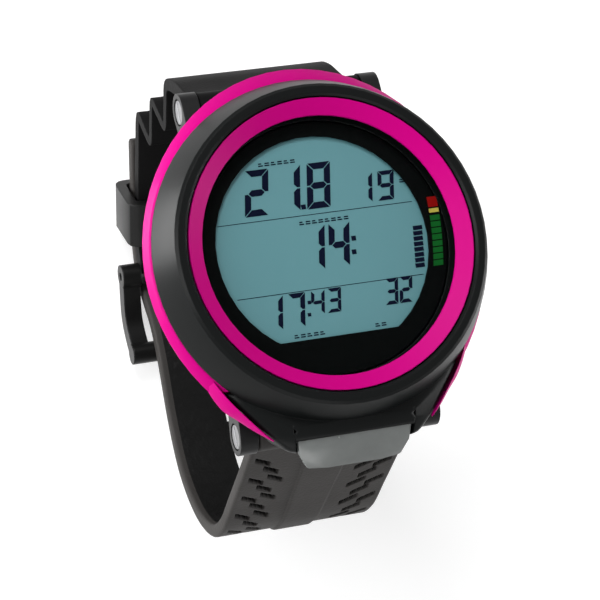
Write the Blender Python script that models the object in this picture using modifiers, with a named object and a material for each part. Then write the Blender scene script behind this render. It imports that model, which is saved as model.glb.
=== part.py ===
"""Wrist dive computer: a round, flat case with one front button, on a buckled rubber strap.

Metres, +Z up through the face, +Y towards twelve o'clock, +X towards three o'clock.
The origin is the centre of the case back, where the case lies on the wrist.
"""
import math

import bmesh
import bpy
import numpy as np
from mathutils import Matrix

# Clearances
CLEAR = 0.0003
RUNNING = 0.0002
THIN_GAP = 0.0001

# Facets of round pieces
BIG_SEGMENTS = 64
MID_SEGMENTS = 36
SMALL_SEGMENTS = 14
SMOOTH_ANGLE = math.radians(35)

# Case across its belt, and how the radii inside it step down
BELT_RADIUS = 0.0342
BELT_STEP = 0.0009
BELT_LAND = 0.0018
RIM_DRAFT = 0.0027
RIM_BAND = 0.0027
RING_WIDTH = 0.0030
SIDE_WALL = 0.0066
FLANK_RADIUS = BELT_RADIUS - BELT_STEP
BELT_BORE = FLANK_RADIUS - BELT_LAND
RIM_RADIUS = FLANK_RADIUS - RIM_DRAFT
RING_RADIUS = RIM_RADIUS - RIM_BAND
RING_BORE = RING_RADIUS - RING_WIDTH
CASE_BORE = BELT_BORE - SIDE_WALL

# Bezel: the dark cone that frames the face
FACE_HEIGHT = 0.0205
SEAT_HEIGHT = 0.0125
RIM_RISE = 0.0005
SHELF_DEPTH = 0.0049
SHELF_BORE = RING_BORE - CLEAR

# Coloured inner ring, a cone falling to the lens
RING_EDGE = 0.0005

# Lens and what lies under it
LENS_LAP = 0.0014
LENS_RADIUS = RING_BORE + LENS_LAP
LENS_THICKNESS = 0.0020
LENS_CHAMFER = 0.0003
GASKET_WALL = 0.0005
MASK_THICKNESS = 0.0005
MASK_BAND = 0.0038
WINDOW_RADIUS = RING_BORE - MASK_BAND
WINDOW_OFFSET = (-0.0004, 0.0005)
WINDOW_CHORD = 0.0029
WINDOW_FLAT = WINDOW_RADIUS - WINDOW_CHORD
PANEL_MARGIN = 0.0008
PANEL_THICKNESS = 0.0013
GUIDE_THICKNESS = 0.0007
HOLDER_WALL = 0.0014
BOARD_MARGIN = 0.0021
BOARD_RADIUS = CASE_BORE - BOARD_MARGIN
BOARD_THICKNESS = 0.0010
CONNECTOR_WIDTH = 0.0016
CONNECTOR_LENGTH = 0.0200

# Coloured belt round the waist, drawn out towards the strap ends
BELT_HEIGHT = 0.0034
BELT_FLARE = 0.0026
FLARE_POWER = 3

# Lower case
FLOOR_THICKNESS = 0.0024
CASE_SIDE_DROP = 0.0003
BACK_DRAFT = 0.0038
BACK_RADIUS = BELT_RADIUS - BACK_DRAFT
SEAL_LAND = 0.0014
SEAL_RADIUS = CASE_BORE + SEAL_LAND
SEAL_SECTION = 0.00055

# Battery well, cell and bayonet cover
CELL_RADIUS = 0.01225
CELL_THICKNESS = 0.0050
WELL_GAP = 0.00045
WELL_WALL = 0.0024
WELL_ROOF = 0.0010
CONTACT_THICKNESS = 0.0003
COVER_MARGIN = 0.00105
COVER_RADIUS = CELL_RADIUS + COVER_MARGIN
COVER_FLANGE = 0.0016
COVER_RECESS = 0.0001
PLUG_HEIGHT = 0.0012
PLUG_INSET = 0.0008
TAB_REACH = 0.0011
TAB_THICKNESS = 0.00065
TAB_LIP = 0.0008
TAB_ANGLE = math.radians(15)
TAB_COUNT = 3
UNLOCK_ANGLE = math.radians(52)
COIN_SLOT = (0.0150, 0.0018, 0.0008)

# Back fittings
SCREW_LAND = 0.0036
SCREW_CIRCLE = CASE_BORE + SCREW_LAND
SCREW_LIFT = 0.0012
SCREW_HEAD = (0.0015, 0.0012)
SCREW_SHANK = (0.0009, 0.0150)
SENSOR_RADIUS = 0.0030
SENSOR_HEIGHT = 0.0040
SENSOR_NOSE = 0.0012
SENSOR_SEAL = (0.0021, 0.0004)
GRILLE_RADIUS = 0.0039
GRILLE_THICKNESS = 0.0007
GRILLE_HOLE = 0.0005
CONTACT_INSET = 0.0044
CONTACT_Y = CASE_BORE - CONTACT_INSET
CONTACT_PITCH = 0.0055
CONTACT_RADIUS = 0.0011
BUZZER_GAP = 0.0005
BUZZER_THICKNESS = 0.0008

# Button pod, the chin that grows out of the bezel at six o'clock
POD_ROOT_TURN = math.radians(43.67894783)
POD_ROOT_LAND = 0.0004379608
POD_ROOT_RADIUS = FLANK_RADIUS + POD_ROOT_LAND
POD_ROOT = (POD_ROOT_RADIUS * math.sin(POD_ROOT_TURN), POD_ROOT_RADIUS * math.cos(POD_ROOT_TURN))
POD_SHOULDER = (0.0158, BELT_RADIUS)
POD_REACH = 0.0030
POD_NOSE = (0.0129, BELT_RADIUS + POD_REACH)
POD_SEAT = 0.0005
POD_BACK_RADIUS = BELT_BORE - POD_SEAT
POD_BOTTOM = 0.0064
POD_BEVEL = 0.0008

# Button, stem and switch
BUTTON_TRAVEL = 0.0012
BUTTON_HALF_WIDTH = 0.0118
BUTTON_LIP_HALF_WIDTH = 0.0094
BUTTON_DEPTH = 0.0072
BUTTON_SHELF = 0.0013
BUTTON_TOP_Y = BELT_RADIUS - CLEAR
BUTTON_LIP_Y = BUTTON_TOP_Y + BUTTON_DEPTH
BUTTON_BACK_Y = BUTTON_TOP_Y + BUTTON_SHELF
BUTTON_TOP_Z = 0.0136
BUTTON_LIP_Z = 0.0092
BUTTON_BOTTOM_Z = 0.0072
BUTTON_BEVEL = 0.0006
STEM_Z = 0.0094
STEM_RADIUS = 0.0013
STEM_SOCKET = 0.0016
STEM_REACH = 0.0010
STEM_INNER_Y = CASE_BORE - STEM_REACH
SPRING_RADIUS = 0.0021
SPRING_WIRE = 0.00025
SPRING_TURNS = 3.5
SPRING_STEPS = 14
STEM_SEAL_SECTION = 0.0003
GLAND_DEPTH = 0.0014
STEM_SEAL_Y = POD_BACK_RADIUS - GLAND_DEPTH
CLIP_RADIUS = 0.0022
CLIP_THICKNESS = 0.0005
SWITCH_SIZE = (0.0060, 0.0034, 0.0022)
PLUNGER_RADIUS = 0.0008
PLUNGER_LENGTH = 0.0030
PLUNGER_REACH = 0.0011

# Lugs and strap pins
LUG_INSET = 0.0023
LUG_PIN_Y = BELT_RADIUS - LUG_INSET
LUG_PIN_Z = 0.00205
LUG_RADIUS = 0.0037
LUG_THICKNESS = 0.0035
LUG_LENGTH = 0.0079
LUG_ROOT_Y = LUG_PIN_Y - LUG_LENGTH
LUG_ROOT_TOP = 0.0070
LUG_ROOT_BOTTOM = 0.0010
PIN_RADIUS = 0.0016
PIN_BORE = 0.0010
PIN_HEAD = (0.0024, 0.0015)
PIN_SCREW_RADIUS = 0.0008
PIN_SCREW_LENGTH = 0.0060
HEAD_SLOT = (0.0006, 0.0005)

# Strap
STRAP_WIDTH = 0.0330
STRAP_THICKNESS = 0.0028
STRAP_BARREL = 0.0035
STRAP_EDGE = 0.0005
BELLOWS_OUT = 0.0066
BELLOWS_Y = LUG_PIN_Y + BELLOWS_OUT
BELLOWS_TOP_Z = -0.0175
BELLOWS_PITCH = 0.01335
BELLOWS_DEPTH = 0.0034
BELLOWS_WAVES = 2
BELLOWS_SHEET = 0.0019
BACK_LEVEL = -0.0629
SLOT_SIZE = (0.0080, 0.0082)
SLOT_PITCH = 0.0134
SLOT_COUNT = 3
TAIL_LENGTH = 0.0228
TAIL_PITCH = math.radians(33.4)
PATH_STEPS = 5

# Keeper that holds the tail on the short half
KEEPER_WALL = 0.0022
KEEPER_LENGTH = 0.0100
KEEPER_ROOM = 0.0094
KEEPER_ROUND = 0.0022
KEEPER_FROM_PIN = (0.0131, 0.0033)
KEEPER_PITCH = math.radians(36)

# Buckle
BUCKLE_PIN_Y = 0.0115
BUCKLE_PIN_Z = -0.0650
BUCKLE_PIN_RADIUS = 0.00075
BUCKLE_BARREL = 0.0023
RAIL_HEIGHT = 0.0036
RAIL_THICKNESS = 0.0038
EAR_RADIUS = 0.0026
BAR_RADIUS = 0.0023
BAR_Y = -0.0055
BAR_Z = -0.0673
BOW_DEPTH = 0.0026
TONGUE_WIDTH = 0.0064
TONGUE_THICKNESS = 0.0016
TONGUE_BARREL = 0.0020
TONGUE_OVERHANG = 0.0016

MATERIALS = {
    "dark_satin": ((0.035, 0.038, 0.040), 0.35, 0.0),
    "black_plastic": ((0.012, 0.012, 0.013), 0.40, 0.0),
    "magenta": ((0.90, 0.002, 0.38), 0.35, 0.0),
    "lens_glass": ((0.85, 0.92, 0.92), 0.05, 0.0),
    "mask_black": ((0.008, 0.009, 0.009), 0.35, 0.0),
    "lcd_grey": ((0.13, 0.28, 0.30), 0.30, 0.0),
    "milky": ((0.80, 0.82, 0.80), 0.45, 0.0),
    "board_green": ((0.02, 0.16, 0.06), 0.45, 0.0),
    "seal_rubber": ((0.015, 0.015, 0.015), 0.60, 0.0),
    "strap_rubber": ((0.030, 0.029, 0.029), 0.62, 0.0),
    "smoke_plastic": ((0.22, 0.23, 0.23), 0.25, 0.0),
    "steel": ((0.62, 0.62, 0.63), 0.28, 1.0),
    "gold": ((0.80, 0.58, 0.20), 0.25, 1.0),
    "pale_plastic": ((0.60, 0.60, 0.57), 0.50, 0.0),
}

# Heights that follow from the stack under the lens
SHELF_HEIGHT = FACE_HEIGHT - SHELF_DEPTH
LENS_BOTTOM = SHELF_HEIGHT + CLEAR
LENS_TOP = LENS_BOTTOM + LENS_THICKNESS
RING_BOTTOM = LENS_TOP + CLEAR
MASK_TOP = LENS_BOTTOM - CLEAR - THIN_GAP
MASK_BOTTOM = MASK_TOP - MASK_THICKNESS
PANEL_TOP = MASK_BOTTOM - CLEAR
PANEL_BOTTOM = PANEL_TOP - PANEL_THICKNESS
GUIDE_TOP = PANEL_BOTTOM - CLEAR
GUIDE_BOTTOM = GUIDE_TOP - GUIDE_THICKNESS
HOLDER_BOTTOM = GUIDE_BOTTOM - THIN_GAP
BOARD_TOP = HOLDER_BOTTOM - CLEAR
BOARD_BOTTOM = BOARD_TOP - BOARD_THICKNESS

# Case heights and radii that follow
CASE_TOP = SEAT_HEIGHT - CLEAR
BELT_BOTTOM = CASE_TOP - BELT_HEIGHT
CASE_SHELF = BELT_BOTTOM - CLEAR
WELL_RADIUS = CELL_RADIUS + WELL_GAP
COVER_HOLE = COVER_RADIUS + CLEAR
COVER_STEP = COVER_RECESS + COVER_FLANGE + 2 * CLEAR
CELL_BOTTOM = COVER_RECESS + COVER_FLANGE + PLUG_HEIGHT + CLEAR
CELL_TOP = CELL_BOTTOM + CELL_THICKNESS
WELL_TOP = CELL_TOP + CONTACT_THICKNESS + 2 * RUNNING
PLUG_RADIUS = WELL_RADIUS - PLUG_INSET

# What lies on the floor between the battery well and the wall
WELL_OUTER = WELL_RADIUS + WELL_WALL
FLOOR_MIDDLE = (WELL_OUTER + CASE_BORE) / 2
SENSOR_Y = -FLOOR_MIDDLE - CLEAR
BUZZER_X = FLOOR_MIDDLE
BUZZER_RADIUS = (CASE_BORE - WELL_OUTER) / 2 - BUZZER_GAP

# Strap geometry that follows
STRAP_HALF = STRAP_WIDTH / 2
LUG_INNER = STRAP_HALF + CLEAR
LUG_OUTER = LUG_INNER + LUG_THICKNESS
RAIL_INNER = STRAP_HALF + 2 * CLEAR
RAIL_OUTER = RAIL_INNER + RAIL_THICKNESS
HALF_STRAP = STRAP_THICKNESS / 2
TAIL_LIFT = BUCKLE_BARREL + CLEAR + HALF_STRAP


def clear_scene():
    for old in list(bpy.data.objects):
        bpy.data.objects.remove(old, do_unlink=True)


def make_collection(name):
    group = bpy.data.collections.new(name)
    bpy.context.scene.collection.children.link(group)
    return group


def make_material(name):
    color, roughness, metallic = MATERIALS[name]
    material = bpy.data.materials.new(name)
    material.use_nodes = True
    shader = material.node_tree.nodes["Principled BSDF"]
    shader.inputs["Base Color"].default_value = (*color, 1.0)
    shader.inputs["Roughness"].default_value = roughness
    shader.inputs["Metallic"].default_value = metallic
    material.diffuse_color = (*color, 1.0)
    return material


def baked_mesh(obj):
    """The object's evaluated mesh in world space, welded; the object itself is removed."""
    bpy.context.view_layer.update()
    graph = bpy.context.evaluated_depsgraph_get()
    mesh = bpy.data.meshes.new_from_object(obj.evaluated_get(graph))
    mesh.transform(obj.matrix_world)
    weld(mesh)
    bpy.data.objects.remove(obj, do_unlink=True)
    return mesh


def weld(mesh):
    bm = bmesh.new()
    bm.from_mesh(mesh)
    bmesh.ops.remove_doubles(bm, verts=bm.verts, dist=1e-6)
    bmesh.ops.recalc_face_normals(bm, faces=bm.faces)
    bm.to_mesh(mesh)
    bm.free()


def add_piece(name, mesh, material):
    """Link a mesh as one named piece of the object, shaded smooth but for its hard edges."""
    mesh.name = name
    mesh.materials.clear()
    mesh.materials.append(material)
    mesh.shade_smooth()
    mesh.set_sharp_from_angle(angle=SMOOTH_ANGLE)
    obj = bpy.data.objects.new(name, mesh)
    PARTS.objects.link(obj)
    return obj


def add_cutter(name, mesh):
    obj = bpy.data.objects.new(name, mesh)
    obj.hide_render = True
    obj.display_type = "WIRE"
    CUTTERS.objects.link(obj)
    return obj


def boolean(obj, other, operation):
    modifier = obj.modifiers.new(other.name, "BOOLEAN")
    modifier.object = other
    modifier.operation = operation
    modifier.solver = "EXACT"
    return obj


def cut(obj, name, mesh):
    return boolean(obj, add_cutter(name, mesh), "DIFFERENCE")


def join(obj, name, mesh):
    return boolean(obj, add_cutter(name, mesh), "UNION")


def close_up(obj):
    """Weld the slivers a cut can leave where two edges all but meet."""
    weld_points = obj.modifiers.new("close up", "WELD")
    weld_points.merge_threshold = 1e-5
    return obj


def soften(obj, width, segments=1, angle=50):
    bevel = obj.modifiers.new("soft edges", "BEVEL")
    bevel.width = width
    bevel.segments = segments
    bevel.limit_method = "ANGLE"
    bevel.angle_limit = math.radians(angle)
    return obj


def turned(profile, segments, closed=True):
    """Turn a profile of (radius, height) points about Z. It runs down the outer side."""
    mesh = bpy.data.meshes.new("profile")
    edges = [(i, i + 1) for i in range(len(profile) - 1)]
    if closed:
        edges.append((len(profile) - 1, 0))
    mesh.from_pydata([(r, 0.0, z) for r, z in profile], edges, [])
    obj = bpy.data.objects.new("profile", mesh)
    PARTS.objects.link(obj)
    screw = obj.modifiers.new("turn", "SCREW")
    screw.steps = segments
    screw.render_steps = segments
    screw.use_merge_vertices = True
    screw.merge_threshold = 1e-6
    return baked_mesh(obj)


def disc(radius, bottom, top, segments=MID_SEGMENTS, center=(0.0, 0.0)):
    mesh = turned([(0.0, top), (radius, top), (radius, bottom), (0.0, bottom)], segments, False)
    mesh.transform(Matrix.Translation((center[0], center[1], 0.0)))
    return mesh


def tube(outer, inner, bottom, top, segments=MID_SEGMENTS, center=(0.0, 0.0)):
    mesh = turned([(inner, top), (outer, top), (outer, bottom), (inner, bottom)], segments)
    mesh.transform(Matrix.Translation((center[0], center[1], 0.0)))
    return mesh


def seal_ring(radius, section, segments, sides=6):
    """A round-section ring about Z, centred on the origin."""
    turn = [math.tau * i / sides for i in range(sides)]
    return turned([(radius + section * math.cos(a), -section * math.sin(a)) for a in turn], segments)


def box(size, center):
    bm = bmesh.new()
    bmesh.ops.create_cube(bm, size=1.0)
    bmesh.ops.scale(bm, vec=size, verts=bm.verts)
    bmesh.ops.translate(bm, vec=center, verts=bm.verts)
    mesh = bpy.data.meshes.new("box")
    bm.to_mesh(mesh)
    bm.free()
    return mesh


def along_x(mesh, x, y, z):
    """Lay a piece that was turned about Z along X, its old origin at the given place."""
    mesh.transform(Matrix.Translation((x, y, z)) @ Matrix.Rotation(math.pi / 2, 4, "Y"))
    return mesh


def along_y(mesh, y, z):
    """Lay a piece that was turned about Z along Y, its upper end towards the case centre."""
    mesh.transform(Matrix.Translation((0.0, y, z)) @ Matrix.Rotation(-math.pi / 2, 4, "X"))
    return mesh


def hull(points, mirror_x=True):
    """The convex block round a set of points and their mirror images in X."""
    bm = bmesh.new()
    for x, y, z in points:
        bm.verts.new((x, y, z))
        if mirror_x:
            bm.verts.new((-x, y, z))
    made = bmesh.ops.convex_hull(bm, input=bm.verts)
    spare = [e for e in made["geom_interior"] + made["geom_unused"] if isinstance(e, bmesh.types.BMVert)]
    bmesh.ops.delete(bm, geom=list(set(spare)), context="VERTS")
    bmesh.ops.dissolve_limit(bm, angle_limit=math.radians(1), verts=bm.verts, edges=bm.edges)
    bmesh.ops.recalc_face_normals(bm, faces=bm.faces)
    mesh = bpy.data.meshes.new("hull")
    bm.to_mesh(mesh)
    bm.free()
    return mesh


def plate(outlines, half_depth, frame):
    """A flat outline, with any holes, given its depth and set in a frame of three axes."""
    curve = bpy.data.curves.new("outline", "CURVE")
    curve.dimensions = "2D"
    curve.fill_mode = "BOTH"
    curve.extrude = half_depth
    for outline in outlines:
        spline = curve.splines.new("POLY")
        spline.points.add(len(outline) - 1)
        for point, (u, v) in zip(spline.points, outline):
            point.co = (u, v, 0.0, 1.0)
        spline.use_cyclic_u = True
    obj = bpy.data.objects.new("outline", curve)
    PARTS.objects.link(obj)
    obj.matrix_world = frame
    return baked_mesh(obj)


def side_plate(outlines, low_x, high_x):
    """A plate whose outline is drawn in Y and Z and which runs from low_x to high_x."""
    frame = Matrix(((0, 0, 1, (low_x + high_x) / 2), (1, 0, 0, 0), (0, 1, 0, 0), (0, 0, 0, 1)))
    return plate(outlines, (high_x - low_x) / 2, frame)


def circle(center, radius, steps=SMALL_SEGMENTS):
    turn = [math.tau * i / steps for i in range(steps)]
    return [(center[0] + radius * math.cos(a), center[1] + radius * math.sin(a)) for a in turn]


def smooth_path(points, steps=PATH_STEPS):
    """A Catmull-Rom curve through the points, as an array of places."""
    given = np.array([2 * np.array(points[0]) - np.array(points[1]), *points,
                      2 * np.array(points[-1]) - np.array(points[-2])])
    t = np.linspace(0.0, 1.0, steps, endpoint=False)[:, None]
    spans = []
    for a, b, c, d in zip(given[:-3], given[1:-2], given[2:-1], given[3:]):
        spans.append(0.5 * (2 * b + (c - a) * t + (2 * a - 5 * b + 4 * c - d) * t**2
                            + (3 * b - a - 3 * c + d) * t**3))
    return np.vstack([*spans, [points[-1]]])


def ribbon(path, half):
    """The closed outline of a band along a path, with half its thickness given at each point."""
    way = np.gradient(path, axis=0)
    way = way / np.linalg.norm(way, axis=1)[:, None]
    side = np.column_stack([-way[:, 1], way[:, 0]]) * np.asarray(half)[:, None]
    return [tuple(p) for p in np.vstack([path + side, (path - side)[::-1]])]


def lengths(path):
    steps = np.linalg.norm(np.diff(path, axis=0), axis=1)
    return np.concatenate([[0.0], np.cumsum(steps)])


def with_barrel(path, radius, half, steps=6):
    """Carry a path back round a barrel at its start, and give the band's half thickness there."""
    way = (path[1] - path[0]) / np.linalg.norm(path[1] - path[0])
    back = [path[0] + way * radius * math.cos(math.pi - a)
            for a in np.linspace(0.12, math.pi / 2, steps, endpoint=False)]
    full = np.vstack([back, path])
    reach = np.concatenate([-np.linalg.norm(np.array(back) - path[0], axis=1), lengths(path)])
    round_part = np.sqrt(np.maximum(radius**2 - reach**2, 0.0))
    return full, np.where(reach < 0, round_part, np.maximum(round_part, half))


def pod_points(grow=0.0):
    """Corners of the button pod; grow moves them outwards for the hollow that takes it."""
    root_x, root_y = POD_ROOT
    shoulder_x, shoulder_y = POD_SHOULDER
    nose_x, nose_y = POD_NOSE
    low = POD_BOTTOM - grow
    return [
        (root_x + 2 * grow, -root_y + grow, SEAT_HEIGHT + grow),
        (root_x + 2 * grow, -root_y + grow, low + 0.0018),
        (shoulder_x + grow, -shoulder_y - grow, SEAT_HEIGHT + grow),
        (shoulder_x + grow, -shoulder_y - grow, low + 0.0012),
        (nose_x + grow, -nose_y - grow, SEAT_HEIGHT - 0.0008 + grow),
        (nose_x - 0.0026 + grow, -nose_y - grow, low),
        (BUTTON_HALF_WIDTH - POD_BEVEL, -BUTTON_TOP_Y + CLEAR, BUTTON_TOP_Z + POD_BEVEL),
    ]


def button_points(grow=0.0, push=0.0):
    """Corners of the button cap, a visor whose upper facet breaks over a lip."""
    wide = BUTTON_HALF_WIDTH + grow
    lip = BUTTON_LIP_HALF_WIDTH + grow
    break_z = BUTTON_TOP_Z - (BUTTON_LIP_Y - BUTTON_TOP_Y) / 3
    break_y = BUTTON_TOP_Y + (BUTTON_LIP_Y - BUTTON_TOP_Y) * 0.55
    points = [
        (wide, -BUTTON_TOP_Y + grow, BUTTON_TOP_Z + grow),
        (wide, -BUTTON_TOP_Y + grow, BUTTON_TOP_Z - 0.0014 - grow),
        (wide - 0.0005, -break_y - grow, break_z + grow),
        (lip, -BUTTON_LIP_Y + 0.0005 - grow, BUTTON_LIP_Z + grow),
        (lip / 2, -BUTTON_LIP_Y - grow, BUTTON_LIP_Z + grow),
        (lip, -BUTTON_LIP_Y + 0.0016 - grow, BUTTON_BOTTOM_Z - grow),
        (wide - 0.0012, -BUTTON_BACK_Y + grow, BUTTON_BOTTOM_Z + 0.0006 - grow),
        (wide - 0.0002, -BUTTON_BACK_Y + grow, BUTTON_TOP_Z - 0.0020),
    ]
    return [(x, y + push, z) for x, y, z in points]


def make_bezel(material):
    top = FACE_HEIGHT + RIM_RISE
    bore = RING_RADIUS + CLEAR
    step = LENS_RADIUS + GASKET_WALL + 2 * RUNNING + CLEAR
    fall = FACE_HEIGHT - SEAT_HEIGHT
    spread = FLANK_RADIUS - RIM_RADIUS
    profile = [
        (bore, FACE_HEIGHT), (bore + 0.0005, top), (RIM_RADIUS - 0.0006, top), (RIM_RADIUS, FACE_HEIGHT),
        (RIM_RADIUS + spread * 0.52, SEAT_HEIGHT + fall * 0.55), (FLANK_RADIUS, SEAT_HEIGHT + 0.0004),
        (FLANK_RADIUS - 0.0003, SEAT_HEIGHT), (SHELF_BORE, SEAT_HEIGHT), (SHELF_BORE, SHELF_HEIGHT),
        (step, SHELF_HEIGHT), (step, RING_BOTTOM - CLEAR), (bore, RING_BOTTOM - CLEAR),
    ]
    bezel = add_piece("bezel", turned(profile, BIG_SEGMENTS), material)
    pod = add_cutter("pod block", hull(pod_points()))
    soften(pod, POD_BEVEL, 2, 20)
    cut(pod, "pod back", disc(POD_BACK_RADIUS, 0.0, SEAT_HEIGHT, BIG_SEGMENTS))
    boolean(bezel, pod, "UNION")
    room = hull(button_points(CLEAR + THIN_GAP) + button_points(CLEAR + THIN_GAP, BUTTON_TRAVEL))
    cut(bezel, "button pocket", room)
    spring_hole = SPRING_RADIUS + SPRING_WIRE + CLEAR
    depth = BUTTON_BACK_Y - POD_BACK_RADIUS + 4 * CLEAR
    cut(bezel, "spring hole", along_y(disc(spring_hole, 0.0, depth + 2 * CLEAR, SMALL_SEGMENTS),
                                      -BUTTON_BACK_Y - CLEAR, STEM_Z))
    for x, y in screw_places():
        hole = disc(SCREW_SHANK[0] + RUNNING, 0.0, screw_tip() + CLEAR, SMALL_SEGMENTS, (x, y))
        cut(bezel, "screw hole", hole)
    return bezel


def make_inner_ring(material):
    edge = RING_BOTTOM + RING_EDGE
    profile = [
        (RING_BORE, edge), (RING_RADIUS, FACE_HEIGHT), (RING_RADIUS, RING_BOTTOM),
        (RING_BORE, RING_BOTTOM),
    ]
    return add_piece("inner_ring", turned(profile, BIG_SEGMENTS), material)


def make_display(glass, rubber, black, lcd, milky, green, pale):
    inner = LENS_RADIUS - LENS_CHAMFER
    lens = [(0.0, LENS_TOP), (inner, LENS_TOP), (LENS_RADIUS, LENS_TOP - LENS_CHAMFER),
            (LENS_RADIUS, LENS_BOTTOM), (0.0, LENS_BOTTOM)]
    add_piece("lens", turned(lens, BIG_SEGMENTS, False), glass)
    bore = LENS_RADIUS + RUNNING
    gasket = tube(bore + GASKET_WALL, bore, LENS_BOTTOM, LENS_TOP - RUNNING, BIG_SEGMENTS)
    add_piece("lens_gasket", gasket, rubber)

    mask_radius = SHELF_BORE - CLEAR
    mask = add_piece("display_mask", disc(mask_radius, MASK_BOTTOM, MASK_TOP, BIG_SEGMENTS), black)
    cut(mask, "display window", window_plate(WINDOW_RADIUS, MASK_BOTTOM - CLEAR, MASK_TOP + CLEAR, 0.0))

    panel_radius = WINDOW_RADIUS + PANEL_MARGIN
    add_piece("lcd_panel", window_plate(panel_radius, PANEL_BOTTOM, PANEL_TOP, PANEL_MARGIN), lcd)
    add_piece("light_guide", window_plate(panel_radius, GUIDE_BOTTOM, GUIDE_TOP, -CONNECTOR_WIDTH), milky)

    reach = panel_radius + math.hypot(*WINDOW_OFFSET) + CLEAR
    wall = min(mask_radius - reach, HOLDER_WALL)
    add_piece("lcd_holder", tube(reach + wall, reach, HOLDER_BOTTOM, PANEL_TOP), pale)
    strip = (CONNECTOR_LENGTH, CONNECTOR_WIDTH - 3 * CLEAR, PANEL_BOTTOM - BOARD_TOP - 2 * THIN_GAP)
    strip_y = WINDOW_OFFSET[1] - WINDOW_FLAT - CONNECTOR_WIDTH / 2 + CONNECTOR_WIDTH + THIN_GAP
    strip_z = (PANEL_BOTTOM + BOARD_TOP) / 2
    add_piece("contact_strip", box(strip, (0.0, strip_y - CONNECTOR_WIDTH / 2, strip_z)), rubber)
    add_piece("circuit_board", disc(BOARD_RADIUS, BOARD_BOTTOM, BOARD_TOP), green)


def window_plate(radius, bottom, top, margin):
    """A round plate with the display's straight lower edge, margin outside the visible window."""
    x, y = WINDOW_OFFSET
    low = -WINDOW_FLAT - margin
    drop = math.asin((low - y) / radius)
    turn = np.linspace(drop, math.pi - drop, MID_SEGMENTS)
    outline = [(x + radius * math.cos(a), y + radius * math.sin(a)) for a in turn]
    frame = Matrix.Translation((0.0, 0.0, (bottom + top) / 2))
    return plate([outline], (top - bottom) / 2, frame)


def make_belt(material):
    top = CASE_TOP
    profile = [
        (BELT_BORE, top), (FLANK_RADIUS - 0.0001, top), (FLANK_RADIUS + 0.0002, top - 0.0003),
        (BELT_RADIUS, BELT_BOTTOM + 0.0006), (BELT_RADIUS - 0.0004, BELT_BOTTOM), (BELT_BORE, BELT_BOTTOM),
    ]
    mesh = turned(profile, BIG_SEGMENTS)
    outer_only = flare_outer(mesh)
    belt = add_piece("belt_ring", outer_only, material)
    cut(belt, "pod room in belt", hull(pod_points(CLEAR + THIN_GAP)))
    return belt


def flare_outer(mesh):
    """Flare only the belt's outer face; its bore stays round."""
    for vertex in mesh.vertices:
        x, y, z = vertex.co
        radius = math.hypot(x, y)
        if radius < BELT_BORE + CLEAR:
            continue
        share = (CASE_TOP - z) / BELT_HEIGHT
        pull = BELT_FLARE * share * abs(y / radius) ** FLARE_POWER
        vertex.co = (x * (radius + pull) / radius, y * (radius + pull) / radius, z)
    return mesh


def screw_places():
    turn = [math.radians(45 + 90 * i) for i in range(4)]
    return [(SCREW_CIRCLE * math.cos(a), SCREW_CIRCLE * math.sin(a)) for a in turn]


def screw_tip():
    return SCREW_LIFT + SCREW_HEAD[1] + SCREW_SHANK[1]


def contact_places():
    return [(CONTACT_PITCH * i, CONTACT_Y) for i in (-1, 0, 1)]


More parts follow.
